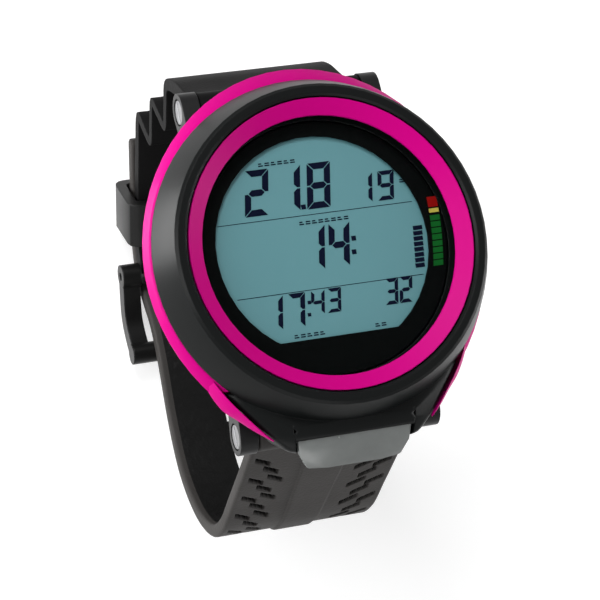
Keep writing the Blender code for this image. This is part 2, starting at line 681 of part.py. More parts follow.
def make_case(material):
    top = CASE_TOP
    wall = BELT_BORE - CLEAR
    side = BELT_RADIUS - CASE_SIDE_DROP
    well = WELL_OUTER
    reach = COVER_RADIUS + TAB_REACH + CLEAR
    tab_low = COVER_RECESS + TAB_LIP
    tab_high = tab_low + TAB_THICKNESS + 2 * CLEAR
    profile = [
        (0.0, WELL_TOP + WELL_ROOF), (well, WELL_TOP + WELL_ROOF), (well, FLOOR_THICKNESS),
        (CASE_BORE, FLOOR_THICKNESS), (CASE_BORE, top), (wall, top), (wall, CASE_SHELF), (side, CASE_SHELF),
        (side - 0.0003, CASE_SHELF * 0.85), (side - 0.0012, CASE_SHELF * 0.50),
        (side - 0.0026, CASE_SHELF * 0.18), (BACK_RADIUS + 0.0006, 0.0003), (BACK_RADIUS, 0.0),
        (COVER_HOLE, 0.0), (COVER_HOLE, tab_low), (reach, tab_low), (reach, tab_high),
        (COVER_HOLE, tab_high), (COVER_HOLE, COVER_STEP), (WELL_RADIUS, COVER_STEP),
        (WELL_RADIUS, WELL_TOP), (0.0, WELL_TOP),
    ]
    mesh = turned(profile, BIG_SEGMENTS, False)
    for vertex in mesh.vertices:
        x, y, z = vertex.co
        radius = math.hypot(x, y)
        on_flank = radius > BACK_RADIUS + THIN_GAP and z < CASE_SHELF - THIN_GAP
        on_shelf_rim = radius > wall + THIN_GAP and z < CASE_SHELF + THIN_GAP
        if on_flank or on_shelf_rim:
            pull = BELT_FLARE * max(z, 0.0) / CASE_SHELF * abs(y / radius) ** FLARE_POWER
            vertex.co = (x * (radius + pull) / radius, y * (radius + pull) / radius, z)
    case = add_piece("case_body", mesh, material)

    for end in (1, -1):
        join(case, "lugs", side_plate([lug_outline(end)], -LUG_OUTER, LUG_OUTER))
        room = STRAP_BARREL + 2 * CLEAR
        cut(case, "strap room", side_plate([strap_room(end, room)], -LUG_INNER, LUG_INNER))
        pin_y = end * LUG_PIN_Y
        cut(case, "pin bore", along_x(pin_bore(), 0.0, pin_y, LUG_PIN_Z))

    pod = add_cutter("pod room in case", hull(pod_points(CLEAR + THIN_GAP)))
    cut(pod, "pod room back", disc(POD_BACK_RADIUS - CLEAR, 0.0, FACE_HEIGHT, BIG_SEGMENTS))
    boolean(case, pod, "DIFFERENCE")

    groove = SEAL_SECTION + RUNNING
    cut(case, "seal groove", tube(SEAL_RADIUS + groove, SEAL_RADIUS - groove, top - 2 * SEAL_SECTION + THIN_GAP,
                                  top + CLEAR))
    cut(case, "stem bore", along_y(stem_bore(), -POD_BACK_RADIUS - CLEAR, STEM_Z))
    for i in range(TAB_COUNT):
        notch = tab_box(TAB_ANGLE * 1.15, reach - CLEAR, -CLEAR, tab_low + CLEAR)
        notch.transform(Matrix.Rotation(math.tau * i / TAB_COUNT + UNLOCK_ANGLE, 4, "Z"))
        cut(case, "bayonet notch", notch)
        close_up(case)

    sensor = (0.0, SENSOR_Y)
    recess = GRILLE_THICKNESS + 2 * CLEAR
    cut(case, "sensor port", stepped_bore(GRILLE_RADIUS + CLEAR, recess, SENSOR_NOSE + CLEAR,
                                          FLOOR_THICKNESS + CLEAR, sensor))
    for place in contact_places():
        cut(case, "contact bore", disc(CONTACT_RADIUS + RUNNING, -CLEAR, FLOOR_THICKNESS + CLEAR, SMALL_SEGMENTS,
                                       place))
    for place in screw_places():
        cut(case, "screw bore", stepped_bore(SCREW_HEAD[0] + RUNNING, SCREW_LIFT + SCREW_HEAD[1],
                                             SCREW_SHANK[0] + RUNNING, top + CLEAR, place))
    return case


def stepped_bore(wide, depth, narrow, top, place):
    """A bore from the case back: wide up to depth, then narrow up to the top."""
    profile = [(0.0, top), (narrow, top), (narrow, depth), (wide, depth), (wide, -CLEAR), (0.0, -CLEAR)]
    mesh = turned(profile, SMALL_SEGMENTS, False)
    mesh.transform(Matrix.Translation((*place, 0.0)))
    return mesh


def pin_bore():
    """The bore for a strap pin through both lugs, sunk at each end for the heads."""
    head, bore = PIN_HEAD[0] + CLEAR, PIN_RADIUS + RUNNING
    out, floor = LUG_OUTER + CLEAR, LUG_OUTER - PIN_HEAD[1] - 2 * CLEAR
    return turned([(0.0, out), (head, out), (head, floor), (bore, floor), (bore, -floor), (head, -floor),
                   (head, -out), (0.0, -out)], SMALL_SEGMENTS, False)


def stem_bore():
    """The button stem's bore through the case wall, with the gland of its seal."""
    start = POD_BACK_RADIUS + CLEAR
    length = start - CASE_BORE + 4 * CLEAR
    middle = start - STEM_SEAL_Y
    gland = STEM_SEAL_SECTION + RUNNING
    bore = STEM_RADIUS + CLEAR
    wide = STEM_RADIUS + 2 * STEM_SEAL_SECTION + CLEAR
    return turned([(0.0, length), (bore, length), (bore, middle + gland), (wide, middle + gland),
                   (wide, middle - gland), (bore, middle - gland), (bore, 0.0), (0.0, 0.0)], SMALL_SEGMENTS, False)


def tab_box(angle, reach, bottom, top):
    """A bayonet tab on the +X side, from inside the cover's rim out to reach."""
    inner = COVER_RADIUS - TAB_REACH
    width = 2 * reach * math.tan(angle / 2)
    return box((reach - inner, width, top - bottom), ((reach + inner) / 2, 0.0, (bottom + top) / 2))


def lug_outline(end):
    """A lug's side: a straight root in the case and a round end about the strap pin."""
    turn = np.linspace(math.radians(80), math.radians(-95), 13)
    tip = [(LUG_PIN_Y + LUG_RADIUS * math.cos(a), LUG_PIN_Z + LUG_RADIUS * math.sin(a)) for a in turn]
    outline = [(LUG_ROOT_Y, LUG_ROOT_TOP), *tip, (LUG_ROOT_Y, LUG_ROOT_BOTTOM)]
    return [(end * y, z) for y, z in outline]


def strap_room(end, radius):
    """The pocket between the lugs: round the strap's barrel, open outwards and downwards."""
    turn = np.linspace(math.radians(90), math.radians(180), 7)
    arc = [(LUG_PIN_Y + radius * math.cos(a), LUG_PIN_Z + radius * math.sin(a)) for a in turn]
    far = BELT_RADIUS + BELT_FLARE + LUG_RADIUS
    low = -LUG_RADIUS
    outline = [(far, LUG_PIN_Z + radius), *arc, (LUG_PIN_Y - radius, low), (far, low)]
    return [(end * y, z) for y, z in outline]


def make_seals(rubber):
    case_seal = seal_ring(SEAL_RADIUS, SEAL_SECTION, MID_SEGMENTS)
    case_seal.transform(Matrix.Translation((0.0, 0.0, CASE_TOP - SEAL_SECTION + 2 * THIN_GAP)))
    add_piece("case_seal", case_seal, rubber)
    section = (WELL_RADIUS - PLUG_RADIUS) / 2 - THIN_GAP
    cover_seal = seal_ring(PLUG_RADIUS + section + THIN_GAP, section, MID_SEGMENTS)
    cover_seal.transform(Matrix.Translation((0.0, 0.0, CELL_BOTTOM - CLEAR - PLUG_HEIGHT / 2)))
    add_piece("battery_seal", cover_seal, rubber)
    sensor_seal = seal_ring(SENSOR_SEAL[0], SENSOR_SEAL[1], SMALL_SEGMENTS)
    sensor_seal.transform(Matrix.Translation((0.0, SENSOR_Y, FLOOR_THICKNESS + SENSOR_SEAL[1] + THIN_GAP)))
    add_piece("sensor_seal", sensor_seal, rubber)
    stem_seal = seal_ring(STEM_RADIUS + STEM_SEAL_SECTION + THIN_GAP, STEM_SEAL_SECTION, SMALL_SEGMENTS)
    add_piece("stem_seal", along_y(stem_seal, -STEM_SEAL_Y, STEM_Z), rubber)


def make_battery(steel, black):
    add_piece("battery_cell", cell_mesh(), steel)
    contact = add_piece("battery_contact_top", disc(CELL_RADIUS * 0.8, CELL_TOP + RUNNING,
                                                    CELL_TOP + RUNNING + CONTACT_THICKNESS), steel)
    for i in range(3):
        window = box((CELL_RADIUS * 0.30, CELL_RADIUS * 0.44, 0.01), (CELL_RADIUS * 0.42, 0.0, CELL_TOP))
        window.transform(Matrix.Rotation(math.tau * i / 3, 4, "Z"))
        cut(contact, "finger window", window)
    strip = 0.4 * WELL_GAP
    middle = CELL_RADIUS + 0.44 * WELL_GAP
    add_piece("battery_contact_side", box((strip, 0.0026, CELL_THICKNESS * 0.8),
                                          (-middle, 0.0, CELL_BOTTOM + CELL_THICKNESS / 2)), steel)

    top = COVER_RECESS + COVER_FLANGE
    cover = [(0.0, top + PLUG_HEIGHT), (PLUG_RADIUS, top + PLUG_HEIGHT), (PLUG_RADIUS, top), (COVER_RADIUS, top),
             (COVER_RADIUS, COVER_RECESS), (0.0, COVER_RECESS)]
    cover = add_piece("battery_cover", turned(cover, BIG_SEGMENTS, False), black)
    tab_low = COVER_RECESS + TAB_LIP + CLEAR
    for i in range(TAB_COUNT):
        tab = tab_box(TAB_ANGLE, COVER_RADIUS + TAB_REACH - CLEAR, tab_low, tab_low + TAB_THICKNESS - CLEAR)
        tab.transform(Matrix.Rotation(math.tau * i / TAB_COUNT, 4, "Z"))
        join(cover, "bayonet tab", tab)
    length, width, depth = COIN_SLOT
    cut(cover, "coin slot", box((length, width, 2 * depth), (0.0, 0.0, COVER_RECESS)))


def cell_mesh():
    step = 0.0005
    inner = CELL_RADIUS * 0.84
    return turned([(0.0, CELL_TOP), (inner, CELL_TOP), (inner, CELL_TOP - step), (CELL_RADIUS, CELL_TOP - 2 * step),
                   (CELL_RADIUS, CELL_BOTTOM + step / 2), (CELL_RADIUS - step / 2, CELL_BOTTOM),
                   (0.0, CELL_BOTTOM)], MID_SEGMENTS, False)


def make_back_fittings(steel, gold, pale, black):
    for number, place in enumerate(screw_places(), 1):
        head, shank = SCREW_HEAD[0], SCREW_SHANK[0]
        base = SCREW_LIFT
        neck = base + SCREW_HEAD[1] - CLEAR
        profile = [(0.0, screw_tip()), (shank, screw_tip()), (shank, neck), (head, neck), (head, base), (0.0, base)]
        mesh = turned(profile, SMALL_SEGMENTS, False)
        mesh.transform(Matrix.Translation((*place, 0.0)))
        screw = add_piece(f"case_screw_{number}", mesh, steel)
        width, depth = HEAD_SLOT
        for size in ((2 * head * 0.8, width, 2 * depth), (width, 2 * head * 0.8, 2 * depth)):
            cut(screw, "cross slot", box(size, (*place, base)))
    for name, place in zip(("left", "middle", "right"), contact_places()):
        add_piece(f"data_contact_{name}", disc(CONTACT_RADIUS, 0.0, FLOOR_THICKNESS + 4 * CLEAR, SMALL_SEGMENTS,
                                               place), gold)
    base = FLOOR_THICKNESS + 2 * SENSOR_SEAL[1] + 2 * THIN_GAP
    sensor = [(0.0, base + SENSOR_HEIGHT), (SENSOR_RADIUS, base + SENSOR_HEIGHT), (SENSOR_RADIUS, base),
              (SENSOR_NOSE, base), (SENSOR_NOSE, GRILLE_THICKNESS + 4 * CLEAR), (0.0, GRILLE_THICKNESS + 4 * CLEAR)]
    mesh = turned(sensor, SMALL_SEGMENTS, False)
    mesh.transform(Matrix.Translation((0.0, SENSOR_Y, 0.0)))
    add_piece("pressure_sensor", mesh, steel)
    grille = add_piece("sensor_grille", disc(GRILLE_RADIUS, THIN_GAP, THIN_GAP + GRILLE_THICKNESS, MID_SEGMENTS,
                                             (0.0, SENSOR_Y)), black)
    ring = GRILLE_RADIUS * 0.6
    for i in range(6):
        a = math.tau * i / 6
        place = (ring * math.cos(a), SENSOR_Y + ring * math.sin(a))
        cut(grille, "grille hole", disc(GRILLE_HOLE, -CLEAR, 2 * GRILLE_THICKNESS, SMALL_SEGMENTS, place))
    buzzer_low = FLOOR_THICKNESS + CLEAR
    add_piece("buzzer", disc(BUZZER_RADIUS, buzzer_low, buzzer_low + BUZZER_THICKNESS, MID_SEGMENTS,
                             (BUZZER_X, 0.0)), gold)


def make_button(smoke, steel, black, pale):
    cap = add_piece("button_cap", hull(button_points()), smoke)
    soften(cap, BUTTON_BEVEL, 2, 20)
    socket_depth = (BUTTON_LIP_Y - BUTTON_BACK_Y) / 3
    wide = SPRING_RADIUS + SPRING_WIRE + CLEAR
    deep = socket_depth + CLEAR
    far = deep + BUTTON_BACK_Y - POD_BACK_RADIUS
    socket = turned([(0.0, far), (wide, far), (wide, deep), (STEM_SOCKET, deep), (STEM_SOCKET, 0.0), (0.0, 0.0)],
                    SMALL_SEGMENTS, False)
    cut(cap, "stem socket", along_y(socket, -BUTTON_BACK_Y - deep, STEM_Z))
    outer = BUTTON_BACK_Y + socket_depth - CLEAR
    add_piece("button_stem", along_y(disc(STEM_RADIUS, 0.0, outer - STEM_INNER_Y, SMALL_SEGMENTS), -outer, STEM_Z),
              steel)
    clip_y = (CASE_BORE + STEM_INNER_Y) / 2
    clip = tube(CLIP_RADIUS, STEM_RADIUS + THIN_GAP, -CLIP_THICKNESS / 2, CLIP_THICKNESS / 2, SMALL_SEGMENTS)
    clip = add_piece("stem_clip", along_y(clip, -clip_y, STEM_Z), steel)
    mouth = box((STEM_RADIUS * 1.4, 0.01, CLIP_RADIUS * 2), (0.0, -clip_y, STEM_Z - CLIP_RADIUS))
    cut(clip, "clip mouth", mouth)
    make_spring(steel)

    plunger_y = STEM_INNER_Y - THIN_GAP
    switch_y = plunger_y - PLUNGER_REACH - BUTTON_TRAVEL * 0.2
    width, depth, height = SWITCH_SIZE
    switch_z = STEM_Z - height * 0.05
    switch = add_piece("push_switch", box(SWITCH_SIZE, (0.0, -switch_y + depth / 2, switch_z)), black)
    hole = PLUNGER_LENGTH - PLUNGER_REACH + BUTTON_TRAVEL + 2 * CLEAR
    cut(switch, "plunger hole", along_y(disc(PLUNGER_RADIUS + RUNNING, -CLEAR, min(hole, depth * 0.92),
                                             SMALL_SEGMENTS), -switch_y, STEM_Z))
    travel_left = min(hole, depth * 0.92) - BUTTON_TRAVEL - CLEAR
    length = min(PLUNGER_LENGTH, travel_left + plunger_y - switch_y)
    plunger = disc(PLUNGER_RADIUS, 0.0, length, SMALL_SEGMENTS)
    add_piece("switch_plunger", along_y(plunger, -plunger_y, STEM_Z), pale)


def make_spring(steel):
    """The return spring: a coil about the stem between the cap and the case wall."""
    low = BUTTON_BACK_Y - SPRING_WIRE - THIN_GAP
    high = POD_BACK_RADIUS - CLEAR + SPRING_WIRE + THIN_GAP
    count = int(SPRING_TURNS * SPRING_STEPS) + 1
    turn = np.linspace(0.0, math.tau * SPRING_TURNS, count)
    y = -np.linspace(low, high, count)
    curve = bpy.data.curves.new("coil", "CURVE")
    curve.dimensions = "3D"
    curve.bevel_depth = SPRING_WIRE
    curve.bevel_resolution = 1
    curve.use_fill_caps = True
    spline = curve.splines.new("POLY")
    spline.points.add(count - 1)
    points = np.column_stack([SPRING_RADIUS * np.cos(turn), y, STEM_Z + SPRING_RADIUS * np.sin(turn)])
    for point, place in zip(spline.points, points):
        point.co = (*place, 1.0)
    obj = bpy.data.objects.new("coil", curve)
    PARTS.objects.link(obj)
    add_piece("button_spring", baked_mesh(obj), steel)
    gap = (low - high) / SPRING_TURNS - 2 * SPRING_WIRE
    print(f"least gap between spring turns {gap * 1000:.2f} mm")


def make_lug_pins(steel):
    radius, height = PIN_HEAD
    for end, name in ((1, "upper"), (-1, "lower")):
        place = (0.0, end * LUG_PIN_Y, LUG_PIN_Z)
        head_out = LUG_OUTER - THIN_GAP
        head_in = head_out - height
        stop = head_in - 2 * CLEAR
        depth = PIN_SCREW_LENGTH + 4 * CLEAR
        profile = [(0.0, stop - depth), (PIN_BORE, stop - depth), (PIN_BORE, stop), (PIN_RADIUS, stop),
                   (PIN_RADIUS, -head_in), (radius, -head_in), (radius, -head_out), (0.0, -head_out)]
        pin = add_piece(f"lug_pin_{name}", along_x(turned(profile, SMALL_SEGMENTS, False), *place), steel)
        width, slot = HEAD_SLOT
        cut(pin, "slot", box((2 * slot, 2 * radius * 0.8, width), (-head_out, place[1], place[2])))
        profile = [(0.0, head_out), (radius, head_out), (radius, head_in), (PIN_SCREW_RADIUS, head_in),
                   (PIN_SCREW_RADIUS, head_in - PIN_SCREW_LENGTH), (0.0, head_in - PIN_SCREW_LENGTH)]
        screw = add_piece(f"lug_screw_{name}", along_x(turned(profile, SMALL_SEGMENTS, False), *place), steel)
        cut(screw, "slot", box((2 * slot, 2 * radius * 0.8, width), (head_out, place[1], place[2])))


def short_path():
    """Middle line of the short half: barrel, bellows, then a straight run to the buckle pin."""
    crest = BELLOWS_Y + BELLOWS_DEPTH
    wave = []
    for i in range(1, 4 * BELLOWS_WAVES):
        turn = math.pi * i / 2
        wave.append((BELLOWS_Y + BELLOWS_DEPTH * math.cos(turn), BELLOWS_TOP_Z - BELLOWS_PITCH * i / 4))
    end = BELLOWS_TOP_Z - BELLOWS_PITCH * BELLOWS_WAVES
    return [
        (LUG_PIN_Y, LUG_PIN_Z), (crest - 0.0060, BELLOWS_TOP_Z + 0.0125), (crest - 0.0018, BELLOWS_TOP_Z + 0.0058),
        (crest, BELLOWS_TOP_Z), *wave, (crest, end), (BELLOWS_Y - 0.0020, end - 0.0050),
        *[(BUCKLE_PIN_Y + 0.0190 - 0.0060 * i, BUCKLE_PIN_Z + 0.0107 - 0.0047 * i) for i in range(3)],
        (BUCKLE_PIN_Y, BUCKLE_PIN_Z),
    ]


def tail_start():
    """Where the long half, past the buckle pin, begins its straight run on the short half."""
    return BUCKLE_PIN_Y + 0.0090, BUCKLE_PIN_Z - TAIL_LIFT + 0.0019


def long_path():
    """Middle line of the long half: barrel, front bow, flat back, over the buckle pin, tail."""
    tail_y, tail_z = tail_start()
    run = np.array([math.cos(TAIL_PITCH), math.sin(TAIL_PITCH)])
    tail = [tuple(np.array([tail_y, tail_z]) + run * TAIL_LENGTH * share) for share in (0.0, 0.5, 1.0)]
    return [
        (-LUG_PIN_Y, LUG_PIN_Z), (-LUG_PIN_Y - 0.0029, -0.0050), (-LUG_PIN_Y - 0.0063, -0.0130),
        (-LUG_PIN_Y - 0.0107, -0.0240), (-LUG_PIN_Y - 0.0147, -0.0345), (-LUG_PIN_Y - 0.0151, -0.0435),
        (-LUG_PIN_Y - 0.0106, -0.0530), (-LUG_PIN_Y - 0.0016, -0.0603),
        (-0.0220, BACK_LEVEL), (BAR_Y - 0.0025, BACK_LEVEL), (BAR_Y + 0.0055, BACK_LEVEL - 0.0012),
        (BUCKLE_PIN_Y - 0.0060, BUCKLE_PIN_Z - TAIL_LIFT + 0.0023), (BUCKLE_PIN_Y, BUCKLE_PIN_Z - TAIL_LIFT),
        *tail,
    ]


def path_place(path, along):
    """The point at a distance along a path, and the direction there."""
    reach = lengths(path)
    place = [float(np.interp(along, reach, path[:, i])) for i in range(2)]
    ahead = [float(np.interp(along + 0.0005, reach, path[:, i])) for i in range(2)]
    return place, math.atan2(ahead[1] - place[1], ahead[0] - place[0])


def make_short_strap(material):
    path = smooth_path(short_path(), PATH_STEPS)
    back = path[::-1]
    full, half = with_barrel(path, STRAP_BARREL, HALF_STRAP)
    low = BELLOWS_TOP_Z - BELLOWS_PITCH * BELLOWS_WAVES
    outside = np.maximum(full[:, 1] - BELLOWS_TOP_Z, low - full[:, 1]) / BELLOWS_PITCH + 0.5
    thin = BELLOWS_SHEET / 2
    eased = thin + (half - thin) * np.clip(outside, 0.0, 1.0)
    half = np.where(full[:, 0] > BELLOWS_Y - 2 * BELLOWS_DEPTH, eased, half)
    outline = ribbon(full, half)
    strap = add_piece("strap_short", side_plate([outline], -STRAP_HALF, STRAP_HALF), material)
    soften(strap, STRAP_EDGE)
    bore_disc(strap, "strap pin hole", (LUG_PIN_Y, LUG_PIN_Z), PIN_RADIUS + CLEAR)
    knuckle = side_plate([circle(tuple(back[0]), BUCKLE_BARREL)], -STRAP_HALF + CLEAR, STRAP_HALF - CLEAR)
    join(strap, "buckle barrel", knuckle)
    bore_disc(strap, "buckle pin hole", (BUCKLE_PIN_Y, BUCKLE_PIN_Z), BUCKLE_PIN_RADIUS + RUNNING)
    room = TONGUE_BARREL + 3 * CLEAR
    gate = side_plate([[(BUCKLE_PIN_Y - 0.01, BUCKLE_PIN_Z - 0.01), (BUCKLE_PIN_Y + room, BUCKLE_PIN_Z - 0.01),
                        (BUCKLE_PIN_Y + room, BUCKLE_PIN_Z + 0.01), (BUCKLE_PIN_Y - 0.01, BUCKLE_PIN_Z + 0.01)]],
                      -TONGUE_WIDTH / 2 - 2 * CLEAR, TONGUE_WIDTH / 2 + 2 * CLEAR)
    cut(strap, "tongue gate", gate)


def bore_disc(obj, name, place, radius):
    mesh = disc(radius, -2 * STRAP_WIDTH, 2 * STRAP_WIDTH, SMALL_SEGMENTS)
    cut(obj, name, along_x(mesh, 0.0, *place))


def make_long_strap(material):
    path = smooth_path(long_path(), PATH_STEPS)
    full, half = with_barrel(path, STRAP_BARREL, HALF_STRAP)
    to_tip = np.linalg.norm(full - full[-1], axis=1)
    rounding = np.sqrt(np.maximum(1 - (1 - to_tip / HALF_STRAP) ** 2, 0.09))
    half = np.where(to_tip < HALF_STRAP, half * rounding, half)
    strap = add_piece("strap_long", side_plate([ribbon(full, half)], -STRAP_HALF, STRAP_HALF), material)
    soften(strap, STRAP_EDGE)
    bore_disc(strap, "strap pin hole", (-LUG_PIN_Y, LUG_PIN_Z), PIN_RADIUS + CLEAR)
    reach = lengths(path)
    cross = reach[np.argmin(np.abs(path[:, 0] - tongue_crossing()) + np.where(path[:, 1] > -0.05, 1.0, 0.0))]
    for i in range(-SLOT_COUNT, 2):
        place, angle = path_place(path, cross + i * SLOT_PITCH)
        size = (SLOT_SIZE[0], SLOT_SIZE[1], 4 * STRAP_THICKNESS)
        slot = box(size, (0.0, 0.0, 0.0))
        slot.transform(Matrix.Translation((0.0, *place)) @ Matrix.Rotation(angle, 4, "X"))
        cut(strap, "slot", slot)


def tongue_crossing():
    """Where along Y the tongue passes through the long half."""
    return BUCKLE_PIN_Y - 0.0053


def make_keeper(material):
    half_x = STRAP_HALF + 2 * CLEAR
    half_z = KEEPER_ROOM / 2
    inner = rounded(half_x, half_z, KEEPER_ROUND * 0.4)
    outer = rounded(half_x + KEEPER_WALL, half_z + KEEPER_WALL, KEEPER_ROUND)
    middle = (BUCKLE_PIN_Y + KEEPER_FROM_PIN[0], BUCKLE_PIN_Z + KEEPER_FROM_PIN[1])
    place = Matrix.Translation((0.0, *middle)) @ Matrix.Rotation(KEEPER_PITCH, 4, "X")
    stand = Matrix.Rotation(math.pi / 2, 4, "X")
    keeper = add_piece("keeper", plate([outer, inner], KEEPER_LENGTH / 2, place @ stand), material)
    soften(keeper, STRAP_EDGE)


def rounded(half_u, half_v, radius, steps=4):
    """A rectangle with round corners, counter-clockwise."""
    outline = []
    for i, (su, sv) in enumerate(((1, 1), (-1, 1), (-1, -1), (1, -1))):
        for a in np.linspace(0.0, math.pi / 2, steps):
            turn = a + i * math.pi / 2
            outline.append((su * (half_u - radius) + radius * math.cos(turn),
                            sv * (half_v - radius) + radius * math.sin(turn)))
    return outline


def rail_path():
    """Middle line of a buckle rail: from the pin it bows outwards and comes in to the front bar."""
    middle = (BUCKLE_PIN_Y + BAR_Y) / 2
    low = (BUCKLE_PIN_Z + BAR_Z) / 2 - BOW_DEPTH
    return [(BUCKLE_PIN_Y, BUCKLE_PIN_Z - 0.0004), (BUCKLE_PIN_Y - 0.0035, BUCKLE_PIN_Z - BOW_DEPTH),
            (middle, low - 0.0010), (BAR_Y + 0.0040, BAR_Z - 0.0020), (BAR_Y, BAR_Z - 0.0003)]


def make_buckle(black, steel):
    path = smooth_path(rail_path(), 3)
    outline = ribbon(path, np.full(len(path), RAIL_HEIGHT / 2))
    boss = 2 * THIN_GAP
    bar = side_plate([circle((BAR_Y, BAR_Z), BAR_RADIUS)], -RAIL_OUTER - boss, RAIL_OUTER + boss)
    frame = add_piece("buckle_frame", bar, black)
    for low_x in (RAIL_INNER, -RAIL_OUTER):
        join(frame, "rail", side_plate([outline], low_x, low_x + RAIL_THICKNESS))
        ear = circle((BUCKLE_PIN_Y, BUCKLE_PIN_Z), EAR_RADIUS)
        join(frame, "ear", side_plate([ear], low_x - boss, low_x + RAIL_THICKNESS + boss))
    bore_disc(frame, "buckle pin bore", (BUCKLE_PIN_Y, BUCKLE_PIN_Z), BUCKLE_PIN_RADIUS + RUNNING)

    pin = disc(BUCKLE_PIN_RADIUS, -RAIL_OUTER + CLEAR, RAIL_OUTER - CLEAR, SMALL_SEGMENTS)
    add_piece("buckle_pin", along_x(pin, 0.0, BUCKLE_PIN_Y, BUCKLE_PIN_Z), steel)

    rest_z = BAR_Z - BAR_RADIUS - CLEAR - TONGUE_THICKNESS / 2
    cross_y = tongue_crossing()
    cross_z = BUCKLE_PIN_Z - 0.0024
    prong = smooth_path([(BUCKLE_PIN_Y, BUCKLE_PIN_Z), (BUCKLE_PIN_Y - 0.0028, BUCKLE_PIN_Z - 0.0010),
                         (cross_y, cross_z), (BAR_Y + 0.0045, rest_z + 0.0004), (BAR_Y, rest_z),
                         (BAR_Y - TONGUE_OVERHANG, rest_z)], 4)
    half = TONGUE_WIDTH / 2
    outline = ribbon(prong, np.full(len(prong), TONGUE_THICKNESS / 2))
    tongue = add_piece("buckle_tongue", side_plate([outline], -half, half), steel)
    join(tongue, "tongue barrel", side_plate([circle((BUCKLE_PIN_Y, BUCKLE_PIN_Z), TONGUE_BARREL)],
                                             -half - THIN_GAP, half + THIN_GAP))
    bore_disc(tongue, "tongue bore", (BUCKLE_PIN_Y, BUCKLE_PIN_Z), BUCKLE_PIN_RADIUS + RUNNING)


clear_scene()
PARTS = make_collection("dive_computer")
CUTTERS = make_collection("cutters")
FINISH = {name: make_material(name) for name in MATERIALS}

make_bezel(FINISH["dark_satin"])
make_inner_ring(FINISH["magenta"])
make_display(FINISH["lens_glass"], FINISH["seal_rubber"], FINISH["mask_black"], FINISH["lcd_grey"], FINISH["milky"],
             FINISH["board_green"], FINISH["pale_plastic"])
make_belt(FINISH["magenta"])
make_case(FINISH["black_plastic"])
make_seals(FINISH["seal_rubber"])
make_battery(FINISH["steel"], FINISH["black_plastic"])
make_back_fittings(FINISH["steel"], FINISH["gold"], FINISH["pale_plastic"], FINISH["black_plastic"])
make_button(FINISH["smoke_plastic"], FINISH["steel"], FINISH["black_plastic"], FINISH["pale_plastic"])
make_lug_pins(FINISH["steel"])
make_short_strap(FINISH["strap_rubber"])
make_long_strap(FINISH["strap_rubber"])
make_keeper(FINISH["strap_rubber"])
make_buckle(FINISH["black_plastic"], FINISH["steel"])
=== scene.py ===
import math
import bpy
import numpy as np
from mathutils import Matrix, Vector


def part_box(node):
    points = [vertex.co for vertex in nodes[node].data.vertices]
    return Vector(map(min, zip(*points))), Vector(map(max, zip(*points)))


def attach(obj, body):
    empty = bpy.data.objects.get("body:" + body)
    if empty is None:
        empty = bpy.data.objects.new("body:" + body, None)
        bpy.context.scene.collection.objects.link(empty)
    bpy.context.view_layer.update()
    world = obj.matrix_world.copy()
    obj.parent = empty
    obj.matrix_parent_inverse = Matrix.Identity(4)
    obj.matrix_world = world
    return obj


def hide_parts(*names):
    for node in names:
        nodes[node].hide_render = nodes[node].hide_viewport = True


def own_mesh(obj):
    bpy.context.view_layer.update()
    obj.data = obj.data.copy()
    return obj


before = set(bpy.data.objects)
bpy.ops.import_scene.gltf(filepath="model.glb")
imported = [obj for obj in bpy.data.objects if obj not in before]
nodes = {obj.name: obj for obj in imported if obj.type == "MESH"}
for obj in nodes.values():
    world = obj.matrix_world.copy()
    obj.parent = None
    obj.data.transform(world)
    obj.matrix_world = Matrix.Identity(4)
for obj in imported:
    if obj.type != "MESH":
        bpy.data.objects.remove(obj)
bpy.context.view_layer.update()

mm = 0.001
shading = {"nodeAngle": math.radians(28), "pieceAngle": math.radians(38), "merge": 0.000002}
print("frame loaded")


def addNode(tree, kind, inputs=None, **values):
    node = tree.nodes.new(kind)
    for key, value in values.items():
        setattr(node, key, value)
    for key, value in (inputs or {}).items():
        node.inputs[key].default_value = value
    return node


